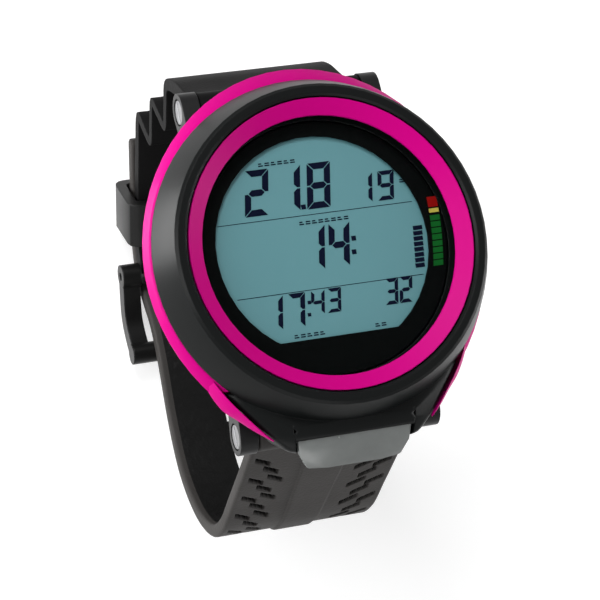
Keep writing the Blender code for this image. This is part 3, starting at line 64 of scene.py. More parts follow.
def makeFinish(name, look):
    # two tones mixed by soft noise, a roughness that wanders between two values, and a fine bump
    finish = bpy.data.materials.new(name)
    finish.use_nodes = True
    tree = finish.node_tree
    shader = tree.nodes["Principled BSDF"]
    place = addNode(tree, "ShaderNodeTexCoord").outputs["Object"]
    cloud = addNode(tree, "ShaderNodeTexNoise", {"Scale": look.get("cloud", 90), "Detail": 4})
    tree.links.new(place, cloud.inputs["Vector"])
    shade = look.get("shade", [c * 0.75 for c in look["color"]])
    tone = addNode(tree, "ShaderNodeMix", {"A": (*look["color"], 1), "B": (*shade, 1)}, data_type="RGBA")
    tree.links.new(cloud.outputs["Fac"], tone.inputs["Factor"])
    tree.links.new(tone.outputs["Result"], shader.inputs["Base Color"])
    rough = addNode(tree, "ShaderNodeMapRange", {"To Min": look["rough"][0], "To Max": look["rough"][1]})
    tree.links.new(cloud.outputs["Fac"], rough.inputs["Value"])
    tree.links.new(rough.outputs["Result"], shader.inputs["Roughness"])
    grain = addNode(tree, look.get("grainKind", "ShaderNodeTexNoise"), {"Scale": look.get("grain", 2500)})
    tree.links.new(place, grain.inputs["Vector"])
    rounded = addNode(tree, "ShaderNodeBevel", {"Radius": look.get("edge", 0.0003)}, samples=4)
    bump = addNode(tree, "ShaderNodeBump", {"Strength": look.get("bump", 0.15)})
    bump.inputs["Distance"].default_value = look.get("depth", 0.0001)
    tree.links.new(rounded.outputs["Normal"], bump.inputs["Normal"])
    tree.links.new(grain.outputs[0], bump.inputs["Height"])
    tree.links.new(bump.outputs["Normal"], shader.inputs["Normal"])
    shader.inputs["Metallic"].default_value = look.get("metal", 0)
    shader.inputs["Coat Weight"].default_value = look.get("coat", 0)
    shader.inputs["Coat Roughness"].default_value = 0.15
    shader.inputs["Specular IOR Level"].default_value = look.get("gloss", 0.5)
    shader.inputs["Transmission Weight"].default_value = look.get("clear", 0)
    return finish


def makeLens(look):
    # clear layer: light goes straight through, with a mirror sheen that grows at grazing angles
    finish = bpy.data.materials.new("lens clear")
    finish.use_nodes = True
    tree = finish.node_tree
    tree.nodes.remove(tree.nodes["Principled BSDF"])
    clear = addNode(tree, "ShaderNodeBsdfTransparent", {"Color": look["tint"]})
    sheen = addNode(tree, "ShaderNodeBsdfGlossy")
    fresnel = addNode(tree, "ShaderNodeFresnel", {"IOR": look["index"]})
    smudge = addNode(tree, "ShaderNodeTexNoise", {"Scale": look["smudge"]})
    tree.links.new(addNode(tree, "ShaderNodeTexCoord").outputs["Object"], smudge.inputs["Vector"])
    spread = addNode(tree, "ShaderNodeMapRange", {"To Min": look["rough"][0], "To Max": look["rough"][1]})
    tree.links.new(smudge.outputs["Fac"], spread.inputs["Value"])
    tree.links.new(spread.outputs["Result"], sheen.inputs["Roughness"])
    # the coating takes away the faint mirror image seen from straight ahead
    coat = addNode(tree, "ShaderNodeMapRange", {"From Min": look["coat"]})
    tree.links.new(fresnel.outputs["Fac"], coat.inputs["Value"])
    # only the outer face mirrors; the inner face lets the display through at every angle
    outer = addNode(tree, "ShaderNodeMath", operation="SUBTRACT", use_clamp=True)
    tree.links.new(coat.outputs["Result"], outer.inputs[0])
    tree.links.new(addNode(tree, "ShaderNodeNewGeometry").outputs["Backfacing"], outer.inputs[1])
    mix = addNode(tree, "ShaderNodeMixShader")
    tree.links.new(outer.outputs["Value"], mix.inputs["Fac"])
    tree.links.new(clear.outputs["BSDF"], mix.inputs[1])
    tree.links.new(sheen.outputs["BSDF"], mix.inputs[2])
    tree.links.new(mix.outputs["Shader"], tree.nodes["Material Output"].inputs["Surface"])
    return finish


def makeRoundShading(angle):
    # joins the facets of a solid and shades them as one round surface, except across edges above the angle
    group = bpy.data.node_groups.new("round shading", "GeometryNodeTree")
    group.interface.new_socket("Geometry", in_out="INPUT", socket_type="NodeSocketGeometry")
    group.interface.new_socket("Geometry", in_out="OUTPUT", socket_type="NodeSocketGeometry")
    bare = addNode(group, "GeometryNodeRemoveAttribute", {"Name": "custom_normal"})
    merge = addNode(group, "GeometryNodeMergeByDistance", {"Distance": shading["merge"]})
    soft = addNode(group, "GeometryNodeSetShadeSmooth", domain="FACE")
    crease = addNode(group, "GeometryNodeSetShadeSmooth", {"Shade Smooth": False}, domain="EDGE")
    sharp = addNode(group, "FunctionNodeCompare", {"B": angle}, data_type="FLOAT", operation="GREATER_THAN")
    bend = addNode(group, "GeometryNodeInputMeshEdgeAngle")
    group.links.new(bend.outputs["Unsigned Angle"], sharp.inputs["A"])
    group.links.new(sharp.outputs["Result"], crease.inputs["Selection"])
    last = addNode(group, "NodeGroupInput").outputs["Geometry"]
    for step in (bare, merge, soft, crease):
        group.links.new(last, step.inputs["Geometry"])
        last = step.outputs["Geometry"]
    group.links.new(last, addNode(group, "NodeGroupOutput").inputs["Geometry"])
    return group


def dress(finish, *names):
    for name in names:
        nodes[name].data.materials.clear()
        nodes[name].data.materials.append(finish)


def newPiece(name, points, faces, finish, body, smooth=True):
    mesh = bpy.data.meshes.new(name)
    mesh.from_pydata(points.tolist(), [], faces)
    mesh.validate()
    mesh.materials.append(finish)
    if smooth:
        mesh.shade_smooth()
        mesh.set_sharp_from_angle(angle=shading["pieceAngle"])
    piece = bpy.data.objects.new(name, mesh)
    bpy.context.scene.collection.objects.link(piece)
    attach(piece, body)
    return piece


# looks: color and shade are the two tones, and gloss is the strength of the sheen
bezelLook = {"color": (0.0050, 0.0058, 0.0058), "shade": (0.0038, 0.0044, 0.0044), "rough": (0.30, 0.37),
             "gloss": 0.08, "grain": 5200, "bump": 0.10, "depth": 0.00006}
blackLook = {"color": (0.006, 0.006, 0.0064), "shade": (0.004, 0.004, 0.0044), "rough": (0.30, 0.42),
             "gloss": 0.16, "grain": 4200, "bump": 0.12, "depth": 0.00006}
pinkLook = {"color": (0.570, 0.0004, 0.206), "shade": (0.535, 0.0004, 0.192), "rough": (0.38, 0.46),
            "gloss": 0.06, "grain": 4200, "bump": 0.05, "depth": 0.00005}
maskLook = {"color": (0.0025, 0.003, 0.003), "shade": (0.002, 0.0025, 0.0025), "rough": (0.30, 0.36),
            "gloss": 0.02, "bump": 0}
rubberLook = {"color": (0.041, 0.0380, 0.0362), "shade": (0.030, 0.0279, 0.0267), "rough": (0.50, 0.64),
              "gloss": 0.13, "grain": 1700, "grainKind": "ShaderNodeTexVoronoi", "bump": 0.30, "depth": 0.00012}
# tread dashes: the strap rubber made near black, as painted shade in the recesses
treadShadeLook = {"color": (0.004, 0.004, 0.004), "shade": (0.003, 0.003, 0.003), "rough": (0.60, 0.75),
             "gloss": 0.1, "bump": 0.1}
# short strap: the same rubber as the long half, made five times darker as painted shade
foldShadedLook = {"color": (0.0080, 0.0078, 0.0080), "shade": (0.0055, 0.0054, 0.0055), "rough": (0.46, 0.58),
            "gloss": 0.03, "grain": 1700, "grainKind": "ShaderNodeTexVoronoi", "bump": 0.20, "depth": 0.0001,
            "edge": 0.0006}
# strap lining: its own coarse grain, with a colour darker than the strap rubber as painted shade on the inner
# face
liningGrainAndShadeLook = {"color": (0.0060, 0.0060, 0.0060), "shade": (0.0040, 0.0040, 0.0040), "rough": (0.38, 0.56),
              "gloss": 0.12, "cloud": 260, "grain": 620, "bump": 0.75, "depth": 0.0004}
keeperLook = {"color": (0.0060, 0.0060, 0.0060), "shade": (0.0042, 0.0042, 0.0042), "rough": (0.28, 0.40),
              "gloss": 0.16, "grain": 2600, "bump": 0.12, "depth": 0.0001, "edge": 0.0005}
smokeLook = {"color": (0.20, 0.214, 0.207), "shade": (0.136, 0.147, 0.144), "rough": (0.22, 0.30),
             "cloud": 240, "bump": 0.06, "coat": 0.15, "clear": 0.15}
steelLook = {"color": (0.62, 0.62, 0.63), "shade": (0.50, 0.50, 0.51), "rough": (0.24, 0.36), "metal": 1,
             "cloud": 900, "bump": 0.06}
darkSteelLook = {"color": (0.30, 0.30, 0.31), "shade": (0.22, 0.22, 0.23), "rough": (0.26, 0.38), "metal": 1,
                 "cloud": 900, "bump": 0.06}
goldLook = {"color": (0.80, 0.58, 0.22), "shade": (0.70, 0.48, 0.16), "rough": (0.22, 0.32), "metal": 1}
paleLook = {"color": (0.60, 0.60, 0.57), "rough": (0.42, 0.52)}
boardLook = {"color": (0.02, 0.16, 0.06), "rough": (0.35, 0.45), "cloud": 600}
lcdLook = {"color": (0.110, 0.272, 0.300), "shade": (0.101, 0.253, 0.281), "rough": (0.35, 0.45),
           "cloud": 45, "bump": 0.02}
navyLook = {"color": (0.005, 0.007, 0.022), "shade": (0.004, 0.006, 0.018), "rough": (0.40, 0.50),
            "gloss": 0.02, "bump": 0.02}
lensLook = {"tint": (0.975, 0.985, 0.985, 1), "index": 1.19, "coat": 0.010, "smudge": 60, "rough": (0.04, 0.10)}
inkLook = {"rough": (0.4, 0.5), "gloss": 0.06, "bump": 0.02}
inkColors = {"red": (0.30, 0.005, 0.004), "yellow": (0.60, 0.52, 0.09), "green": (0.006, 0.120, 0.018)}

pinkFinish = makeFinish("magenta", pinkLook)
maskFinish = makeFinish("mask print", maskLook)
rubberFinish = makeFinish("strap rubber", rubberLook)
treadShadeFinish = makeFinish("tread recess painted shade", treadShadeLook)
liningGrainAndShadeFinish = makeFinish("strap lining grain and painted shade", liningGrainAndShadeLook)
steelFinish = makeFinish("steel", steelLook)
navyFinish = makeFinish("display ink", navyLook)
inkFinishes = {name: makeFinish("scale " + name, {"color": color, **inkLook})
               for name, color in inkColors.items()}

dress(makeFinish("bezel satin", bezelLook), "bezel")
dress(pinkFinish, "inner_ring", "belt_ring")
dress(makeFinish("case black", blackLook), "case_body", "battery_cover", "sensor_grille", "push_switch")
dress(makeFinish("keeper rubber", keeperLook), "keeper", "buckle_frame", "lens_gasket", "case_seal",
      "battery_seal", "sensor_seal", "stem_seal", "contact_strip")
dress(maskFinish, "display_mask")
dress(makeFinish("display", lcdLook), "lcd_panel")
# the short strap's darker rubber is painted shade
dress(makeFinish("fold rubber painted shade", foldShadedLook), "strap_short")
dress(rubberFinish, "strap_long")
dress(makeFinish("smoked plastic", smokeLook), "button_cap")
dress(makeFinish("dark steel", darkSteelLook), "lug_pin_upper", "lug_pin_lower", "lug_screw_upper",
      "lug_screw_lower")
dress(steelFinish, "buckle_tongue", "buckle_pin", "case_screw_1", "case_screw_2", "case_screw_3",
      "case_screw_4", "button_stem", "stem_clip", "button_spring", "battery_cell", "battery_contact_top",
      "battery_contact_side", "pressure_sensor")
dress(makeFinish("gold plate", goldLook), "data_contact_left", "data_contact_middle", "data_contact_right",
      "buzzer")
dress(makeFinish("pale plastic", paleLook), "lcd_holder", "switch_plunger", "light_guide")
dress(makeFinish("board", boardLook), "circuit_board")
dress(makeLens(lensLook), "lens")
roundShading = makeRoundShading(shading["nodeAngle"])
for node in nodes.values():
    node.modifiers.new("round shading", "NODES").node_group = roundShading
print("finishes set")

# display figures: seven slanted bars per figure, drawn just above the display panel
# each row holds its figures, left and base, height, width and step in millimetres
display = {"lift": 0.00006, "slant": 0.168, "bar": 0.142, "gap": 0.014,
           "rows": [("21", -14.5, 7.7, 8.8, 4.7, 6.35), ("8", -2.1, 7.7, 8.8, 4.7, 6.35),
                    ("19", 7.8, 7.6, 5.7, 3.3, 4.4), ("14", -4.9, -4.0, 8.5, 4.2, 5.0),
                    ("17", -14.4, -14.3, 6.5, 3.4, 4.4), ("43", -5.06, -12.4, 4.6, 2.7, 3.3),
                    ("32", 9.9, -12.5, 5.0, 2.6, 2.9)],
           "dots": [(-2.75, 8.3, 0.46), (5.6, -1.5, 0.46), (6.0, 1.1, 0.46), (-5.4, -12.2, 0.34),
                    (-5.0, -9.9, 0.34)],
           "rules": [(-20.2, 6.60, 19.0, 6.74), (-18.8, -7.66, 18.6, -7.52)], "ruleLift": 0.00003}
barsLit = {"1": "bc", "2": "abged", "3": "abgcd", "4": "fgbc", "7": "abc", "8": "abcdefg", "9": "abcdfg"}


def figureBars(wide, high, thick, gap):
    # seven bars with mitred corners: a across the top, f down the left, g across the middle, the rest mirrored
    half = high / 2
    a = np.array([(gap, high), (wide - gap, high), (wide - thick - gap, high - thick),
                  (thick + gap, high - thick)])
    f = np.array([(0, high - gap), (thick, high - thick - gap), (thick, half + thick / 2 + gap),
                  (thick / 2, half + gap), (0, half + gap)])
    g = np.array([(thick / 2 + gap, half), (thick + gap, half + thick / 2),
                  (wide - thick - gap, half + thick / 2), (wide - thick / 2 - gap, half),
                  (wide - thick - gap, half - thick / 2), (thick + gap, half - thick / 2)])
    over, across = np.array([0, high]), np.array([wide, 0])
    flip, swap = np.array([1, -1]), np.array([-1, 1])
    b, e = across + f * swap, over + f * flip
    return {"a": a, "b": b, "c": over + b * flip, "d": over + a * flip, "e": e, "f": f, "g": g}


def figureShapes(row):
    # every lit bar of one row, as closed shapes that lean with height above the row's base
    text, x0, y0, high, wide, step = row
    bars = figureBars(wide, high, high * display["bar"], high * display["gap"])
    shapes = []
    for i, figure in enumerate(text):
        for bar in barsLit[figure]:
            shape = bars[bar] + np.array([x0 + i * step, y0])
            shape[:, 0] += display["slant"] * (shape[:, 1] - y0)
            shapes.append(shape)
    return shapes


def flatPiece(name, shapes, z, finish):
    # closed shapes in millimetres, laid flat at one height and all facing up
    points = np.vstack([np.column_stack([s * mm, np.full(len(s), z)]) for s in shapes])
    starts = np.cumsum([0] + [len(s) for s in shapes])
    faces = []
    for s, first in zip(shapes, starts):
        order = list(range(first, first + len(s)))
        area = np.sum(s[:, 0] * np.roll(s[:, 1], -1) - s[:, 1] * np.roll(s[:, 0], -1))
        faces.append(order if area > 0 else order[::-1])
    return newPiece(name, points, faces, finish, "case", smooth=False)


def rectangle(x0, y0, x1, y1):
    return np.array([(x0, y0), (x1, y0), (x1, y1), (x0, y1)])


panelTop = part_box("lcd_panel")[1][2]
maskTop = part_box("display_mask")[1][2]
rowShapes = [shape for row in display["rows"] for shape in figureShapes(row)]
rowShapes += [rectangle(x - h, y - h, x + h, y + h) for x, y, h in display["dots"]]
flatPiece("displayFigures", rowShapes, panelTop + display["lift"], navyFinish)

# bar column of eight blocks, and short dashes where the rows have their captions
gauge = {"bars": 8, "x": (17.3, 19.2), "y": (-6.3, 2.0), "lean": 0.12, "gap": 0.10}
captions = {"start": ((-10.2, 17.0), (-4.2, 4.9), (-9.1, -16.3), (7.1, -16.3), (17.2, 10.6)),
            "count": (6, 8, 5, 2, 1), "step": 1.28, "size": (0.95, 0.24), "rise": 0.42, "inset": 0.06,
            "short": 0.75}
marks = []
edges = np.linspace(*gauge["y"], gauge["bars"] + 1)
for low, high in zip(edges[:-1], edges[1:]):
    left, right = np.array(gauge["x"]) + gauge["lean"] * (low - gauge["y"][0])
    marks.append(rectangle(left, low + gauge["gap"], right, high - gauge["gap"]))
wide, tall = captions["size"]
for (x, y), count in zip(captions["start"], captions["count"]):
    for i in range(count):
        left = x + i * captions["step"]
        top = y + captions["rise"]
        marks.append(rectangle(left, y, left + wide, y + tall))
        upperEnd = left + wide * (1 if i % 2 else captions["short"])
        marks.append(rectangle(left + captions["inset"], top, upperEnd, top + tall))
flatPiece("displayMarks", marks, panelTop + display["lift"], navyFinish)
rules = [rectangle(*rule) for rule in display["rules"]]
flatPiece("displayRules", rules, panelTop + display["ruleLift"], navyFinish)

# coloured scale printed on the mask beside the bar column: red, yellow, then a green ladder
# foot is the straight band of print across the bottom of the window
scale = {"x": (21.75, 23.75), "lean": 0.075, "leanFrom": 3, "bend": 0.0077, "bendFrom": 1, "lift": 0.00005,
         "red": (5.0, 7.0), "yellow": (3.9, 4.7), "green": (-6.4, 3.6), "rungs": 8, "gap": 0.22,
         "foot": (-13.4, -18.7, 12.6, -16.95)}


def scaleBlock(low, high):
    # x shifts by lean (y - leanFrom) - bend (y - bendFrom)^2, so the column follows the round window
    shift = [scale["lean"] * (y - scale["leanFrom"]) - scale["bend"] * (y - scale["bendFrom"]) ** 2
             for y in (low, high)]
    left, right = scale["x"]
    return np.array([(left + shift[0], low), (right + shift[0], low), (right + shift[1], high),
                     (left + shift[1], high)])


printed = maskTop + scale["lift"]
flatPiece("scaleRed", [scaleBlock(*scale["red"])], printed, inkFinishes["red"])
flatPiece("scaleYellow", [scaleBlock(*scale["yellow"])], printed, inkFinishes["yellow"])
ladder = np.linspace(*scale["green"], scale["rungs"] + 1)
rungs = [scaleBlock(low, high - scale["gap"]) for low, high in zip(ladder[:-1], ladder[1:])]
flatPiece("scaleGreen", rungs, printed, inkFinishes["green"])
flatPiece("maskFoot", [rectangle(*scale["foot"])], printed, maskFinish)
print("display drawn")

# long strap half: a band along a smooth line, with a raised middle panel, rows of tread dashes and slots
# along, tail, across and outer give the places of the grid's steps as start, end and count
strap = {"line": [(-0.0319, 0.00205), (-0.0348, -0.0050), (-0.0382, -0.0130), (-0.0426, -0.0240),
                  (-0.0466, -0.0345), (-0.0470, -0.0435), (-0.0425, -0.0530), (-0.0335, -0.0603),
                  (-0.0220, -0.0629), (-0.0080, -0.0629), (0.0000, -0.0641), (0.0055, -0.0667),
                  (0.0115, -0.0690), (0.0205, -0.0671)],
         "straight": (0.83485, 0.55048), "straightStep": 0.0114, "curveSteps": 40,
         "half": 0.0014, "barrel": 0.0035, "wide": 0.0165, "edge": 0.0006, "trimMost": 0.9,
         "tip": 0.0014, "tipRound": 0.91, "slot": (0.0040, 0.0041), "pitch": 0.0134, "slotRange": (-3, 2),
         "crossing": 0.0062, "crossingBelow": -0.05,
         "panel": 0.0046, "panelTaper": 0.0012, "panelRun": 0.05, "panelSoft": 0.0005, "rise": 0.0005,
         "fadeIn": (0.004, 0.004), "fadeOut": (0.060, 0.012),
         "dash": (0.0015, 0.0007, 0.0012), "dashSoft": (0.0003, 0.0002), "dashX": (0.0133, 0.0110, 0.0094),
         "dashStep": 0.0038, "rowPitch": 0.0079, "rows": 6, "firstRow": 0.0100, "lean": 0.7,
         "barrelFrom": 0.10, "barrelSteps": 12, "along": ((0.001, 0.008, 7), (0.0083, 0.061, 236)),
         "tail": (0.062, 115), "across": ((0, 0.0026, 5), (0.003, 0.0054, 11)), "outer": (0.0060, 42),
         "rimSteps": 5, "liningBorder": 0.0016, "sunk": 2.4}


def smoothLine(points, steps):
    # Catmull-Rom curve: each span is a cubic through its two points with slopes from their neighbours
    p = np.array(points)
    p = np.vstack([2 * p[0] - p[1], p, 2 * p[-1] - p[-2]])
    t = np.linspace(0, 1, steps, endpoint=False)[:, None]
    spans = [0.5 * (2 * b + (c - a) * t + (2 * a - 5 * b + 4 * c - d) * t**2 + (3 * b - a - 3 * c + d) * t**3)
             for a, b, c, d in zip(p[:-3], p[1:-2], p[2:-1], p[3:])]
    return np.vstack([*spans, p[-2][None, :]])


def bell(value, half, soft):
    # one inside the half width, falling smoothly to nothing over the soft margin
    t = np.clip((half + soft - np.abs(value)) / soft, 0, 1)
    return t * t * (3 - 2 * t)


def facingOut(points, quads):
    # the sum of corner triple products is six times the volume, and negative where the faces look inward
    a, b, c, d = (points[quads[:, i]] for i in range(4))
    volume = np.sum(np.einsum("ij,ij->i", a, np.cross(b, c)) + np.einsum("ij,ij->i", a, np.cross(c, d)))
    return quads if volume > 0 else quads[:, ::-1]


def strapLine():
    # the drawn points and two more, straight on beside the short half
    end, straight = np.array(strap["line"][-1]), np.array(strap["straight"])
    more = [end + straight * strap["straightStep"] * k for k in (1, 2)]
    return smoothLine(np.vstack([strap["line"], more]), strap["curveSteps"])


def strapSteps(total, slotAt):
    # steps along and across the strap, close together where the tread lies, with the slots' edges among them
    turn = np.linspace(strap["barrelFrom"], math.pi / 2, strap["barrelSteps"])
    slotWide, slotLong = strap["slot"]
    tailFrom, tailSteps = strap["tail"]
    s = np.concatenate([-strap["barrel"] * np.cos(turn), *(np.linspace(*part) for part in strap["along"]),
                        np.linspace(tailFrom, total, tailSteps), slotAt - slotLong, slotAt + slotLong])
    flat = strap["wide"] - strap["edge"]
    rim = flat + strap["edge"] * np.sin(np.linspace(0, math.pi / 2, strap["rimSteps"]))
    outerFrom, outerSteps = strap["outer"]
    half = np.concatenate([*(np.linspace(*part) for part in strap["across"]),
                           np.linspace(outerFrom, flat, outerSteps), rim[1:], [slotWide]])
    return np.unique(s), np.unique(np.concatenate([-half, half]))


def treadShape(s, x):
    # 1 inside a dash and 0 outside, in rows of three dashes that lean toward the edges
    long, tall, _ = strap["dash"]
    softX, softS = strap["dashSoft"]
    tread = np.zeros((len(s), len(x)))
    for row in range(strap["rows"]):
        for i, dashX in enumerate(strap["dashX"]):
            at = strap["firstRow"] + row * strap["rowPitch"] + i * strap["dashStep"]
            lean = at + strap["lean"] * (dashX - np.abs(x))[None, :]
            cut = bell(s[:, None] - lean, tall, softS) * bell(np.abs(x) - dashX, long, softX)[None, :]
            tread = np.maximum(tread, cut)
    return tread


def shellFaces(index, keep, base):
    # the kept cells of a grid as an outer and an inner sheet, joined by walls along every border
    quads = np.stack([index[:-1, :-1], index[1:, :-1], index[1:, 1:], index[:-1, 1:]], axis=-1)[keep]
    faces = [quads, quads[:, ::-1] + base]
    padded = np.pad(keep, 1)
    walls = ((padded[:-2, 1:-1], index[:-1, :-1], index[:-1, 1:]),
             (padded[2:, 1:-1], index[1:, 1:], index[1:, :-1]),
             (padded[1:-1, :-2], index[1:, :-1], index[:-1, :-1]),
             (padded[1:-1, 2:], index[:-1, 1:], index[1:, 1:]))
    for beyond, start, end in walls:
        border = keep & ~beyond
        p, q = start[border], end[border]
        faces.append(np.stack([p, q, q + base, p + base], axis=-1))
    return np.vstack(faces)


def strapSurface():
    # a point is (x, middle(s) + out(s) (thick(s) - trim(x) + panel(s, x) - deep tread(s, x))) on the outer face
    # and (x, middle(s) - out(s) (thick(s) - trim(x))) on the inner one, with s along the strap and x across it
    line = strapLine()
    run = np.concatenate([[0], np.cumsum(np.linalg.norm(np.diff(line, axis=0), axis=1))])
    total = run[-1]
    crossing = run[np.argmin(np.abs(line[:, 0] - strap["crossing"]) + (line[:, 1] > strap["crossingBelow"]))]
    slotAt = crossing + strap["pitch"] * np.arange(*strap["slotRange"])
    s, x = strapSteps(total, slotAt)
    start = (line[1] - line[0]) / np.linalg.norm(line[1] - line[0])
    middle = np.column_stack([np.interp(s, run, line[:, 0]), np.interp(s, run, line[:, 1])])
    middle[s < 0] = line[0] + start * s[s < 0][:, None]
    way = np.gradient(middle, s, axis=0)
    way /= np.linalg.norm(way, axis=1)[:, None]
    out = np.column_stack([way[:, 1], -way[:, 0]])

    # thickness: a barrel round the lug pin, a plain band and a rounded tip, with rounded edges
    wide, edge, tipLong = strap["wide"], strap["edge"], strap["tip"]
    thick = np.maximum(np.sqrt(np.maximum(strap["barrel"] ** 2 - s**2, 0)), np.where(s < 0, 0, strap["half"]))
    tip = np.clip((total - s) / tipLong, 0, 1)
    thick = thick * np.where(s > total - tipLong, np.sqrt(1 - (1 - tip) ** 2 * strap["tipRound"]), 1)
    over = np.maximum(np.abs(x) - (wide - edge), 0)
    trim = edge - np.sqrt(np.maximum(edge**2 - over**2, 0))
    high = thick[:, None] - np.minimum(trim[None, :], thick[:, None] * strap["trimMost"])

    # relief of the outer face: the middle panel narrows and fades out, and the tread is cut in beside it
    (inFrom, inRun), (outTo, outRun) = strap["fadeIn"], strap["fadeOut"]
    fade = np.clip((s - inFrom) / inRun, 0, 1) * np.clip((outTo - s) / outRun, 0, 1)
    panelHalf = strap["panel"] - strap["panelTaper"] * np.clip(s / strap["panelRun"], 0, 1)
    panel = bell(x[None, :], panelHalf[:, None], strap["panelSoft"]) * fade[:, None] * strap["rise"]
    tread = treadShape(s, x)
    outer = high + panel - tread * strap["dash"][2]
    sheets = []
    for height in (outer, -high):
        place = middle[:, None] + out[:, None] * height[..., None]
        sheets.append(np.concatenate([np.broadcast_to(x[None, :, None], (*height.shape, 1)), place], axis=-1))

    # cells inside a slot are left out
    midS, midX = (s[1:] + s[:-1]) / 2, (x[1:] + x[:-1]) / 2
    slotWide, slotLong = strap["slot"]
    inSlot = (np.min(np.abs(midS[:, None] - slotAt[None, :]), axis=1) < slotLong)[:, None]
    keep = ~(inSlot & (np.abs(midX) < slotWide)[None, :])
    index = np.arange(len(s) * len(x)).reshape(len(s), len(x))
    faces = shellFaces(index, keep, index.size)

    # tread and lining cells take darker copies of the strap rubber, which are painted shade
    # finish of each outer and inner cell: 2 in the tread, 1 on the lining up to a smooth border, 0 elsewhere
    cellX = np.broadcast_to(np.abs(midX)[None, :], keep.shape)[keep]
    sunk = (tread[:-1, :-1] + tread[1:, 1:] + tread[1:, :-1] + tread[:-1, 1:])[keep] > strap["sunk"]
    cellFinish = np.concatenate([2 * sunk.astype(int), (cellX < wide - strap["liningBorder"]).astype(int)])
    points = np.vstack([sheet.reshape(-1, 3) for sheet in sheets])
    return points, facingOut(points, faces), cellFinish


strapPoints, strapFaces, cellFinish = strapSurface()
strapPiece = newPiece("strapLongHalf", strapPoints, strapFaces.tolist(), rubberFinish, "case")
# the lining and tread finishes are darker copies of the strap rubber: painted shade on the inner face and in
# the dashes
for finish in (liningGrainAndShadeFinish, treadShadeFinish):
    strapPiece.data.materials.append(finish)
finishIndex = np.zeros(len(strapPiece.data.polygons), np.int32)
finishIndex[:len(cellFinish)] = cellFinish
strapPiece.data.polygons.foreach_set("material_index", finishIndex)
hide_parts("strap_long")
print("strap drawn", len(strapFaces) * 2)

# belt tips: each end of the belt runs out along the button pod as a pointed blade, in millimetres
blade = {"upper": [(-25.6, -21.1, 12.0), (-24.6, -23.2, 12.3), (-23.2, -25.5, 12.4), (-21.7, -27.6, 12.45),
                   (-19.9, -29.9, 12.5), (-17.9, -32.4, 12.5), (-16.0, -34.6, 12.4)],
         "lower": [(-26.5, -21.6, 9.3), (-25.75, -23.6, 9.1), (-24.7, -25.7, 8.95), (-23.4, -27.6, 9.0),
                   (-21.1, -29.7, 9.5), (-18.9, -32.0, 10.7), (-16.0, -34.6, 12.2)],
         "steps": 8, "seat": (-23.3, -24.4, 0.0), "away": (-0.794, -0.608, 0.0), "gap": 0.1, "swell": 0.25,
         "swellAt": 3.4}


def bladeSurface(mirror):
    # four lines run from root to point: upper, lower, a swell midway between them, and lower laid on the pod
    # swell = (upper + lower) / 2 + away * swell * |upper - lower| / swellAt
    upper, lower = smoothLine(blade["upper"], blade["steps"]), smoothLine(blade["lower"], blade["steps"])
    away = np.array(blade["away"])
    inner = lower - away * ((lower - np.array(blade["seat"])) @ away - blade["gap"])[:, None]
    gape = np.linalg.norm(upper - lower, axis=1)[:, None]
    swell = (upper + lower) / 2 + away * blade["swell"] * gape / blade["swellAt"]
    rings = np.stack([upper, swell, lower, inner], axis=1) * mm * np.array([mirror, 1, 1])
    index = np.arange(4 * len(rings)).reshape(-1, 4)
    after = np.roll(index, -1, axis=1)
    sides = [np.stack([index[:-1, k], index[1:, k], after[1:, k], after[:-1, k]], axis=-1) for k in range(4)]
    quads = np.vstack([*sides, index[:1, ::-1], index[-1:]])
    points = rings.reshape(-1, 3)
    return points, facingOut(points, quads)


for name, mirror in (("beltTipLeft", 1), ("beltTipRight", -1)):
    points, quads = bladeSurface(mirror)
    newPiece(name, points, quads.tolist(), pinkFinish, "case")
print("belt tips drawn")

# return spring: a wire swept along a coil round the button's stem, drawn at one fixed length; the real spring
# shortens as the button goes in
spring = {"radius": 0.0021, "wire": 0.00025, "turns": 3.5, "span": (-0.03485, -0.03105), "height": 0.0094,
          "sides": 8, "steps": 150, "end": 0.05}


def springSurface():
    # the middle of the wire is (r cos t, y(t), h + r sin t), with a small ring of points across it at each step
    t = np.linspace(0, 2 * math.pi * spring["turns"], spring["steps"])
    radius, height = spring["radius"], spring["height"]
    middle = np.column_stack([radius * np.cos(t), np.linspace(*spring["span"], len(t)),
                              height + radius * np.sin(t)])
    way = np.gradient(middle, axis=0)
    way /= np.linalg.norm(way, axis=1)[:, None]
    outward = np.column_stack([np.cos(t), np.zeros_like(t), np.sin(t)])
    across = np.cross(way, outward)
    turn = np.arange(spring["sides"]) * 2 * math.pi / spring["sides"]
    wire = np.full(len(t), spring["wire"])
    wire[[0, -1]] *= spring["end"]
    ring = outward[:, None] * np.cos(turn)[None, :, None] + across[:, None] * np.sin(turn)[None, :, None]
    points = (middle[:, None] + ring * wire[:, None, None]).reshape(-1, 3)
    index = np.arange(len(points)).reshape(len(t), -1)
    after = np.roll(index, -1, axis=1)
    quads = np.stack([index[:-1], index[1:], after[1:], after[:-1]], axis=-1).reshape(-1, 4)
    return points, facingOut(points, quads)


springPoints, springFaces = springSurface()
springPiece = newPiece("returnSpring", springPoints, springFaces.tolist(), steelFinish, "case")
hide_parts("button_spring")
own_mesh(springPiece)
print("spring drawn")


def seenRays(tree):
    # 1 for rays from the camera, from a sheen or through a clear piece, 0 for the rest
    path = addNode(tree, "ShaderNodeLightPath")
    two = addNode(tree, "ShaderNodeMath", operation="MAXIMUM")
    tree.links.new(path.outputs["Is Camera Ray"], two.inputs[0])
    tree.links.new(path.outputs["Is Glossy Ray"], two.inputs[1])
    three = addNode(tree, "ShaderNodeMath", operation="MAXIMUM")
    tree.links.new(two.outputs["Value"], three.inputs[0])
    tree.links.new(path.outputs["Is Transmission Ray"], three.inputs[1])
    return three.outputs["Value"]


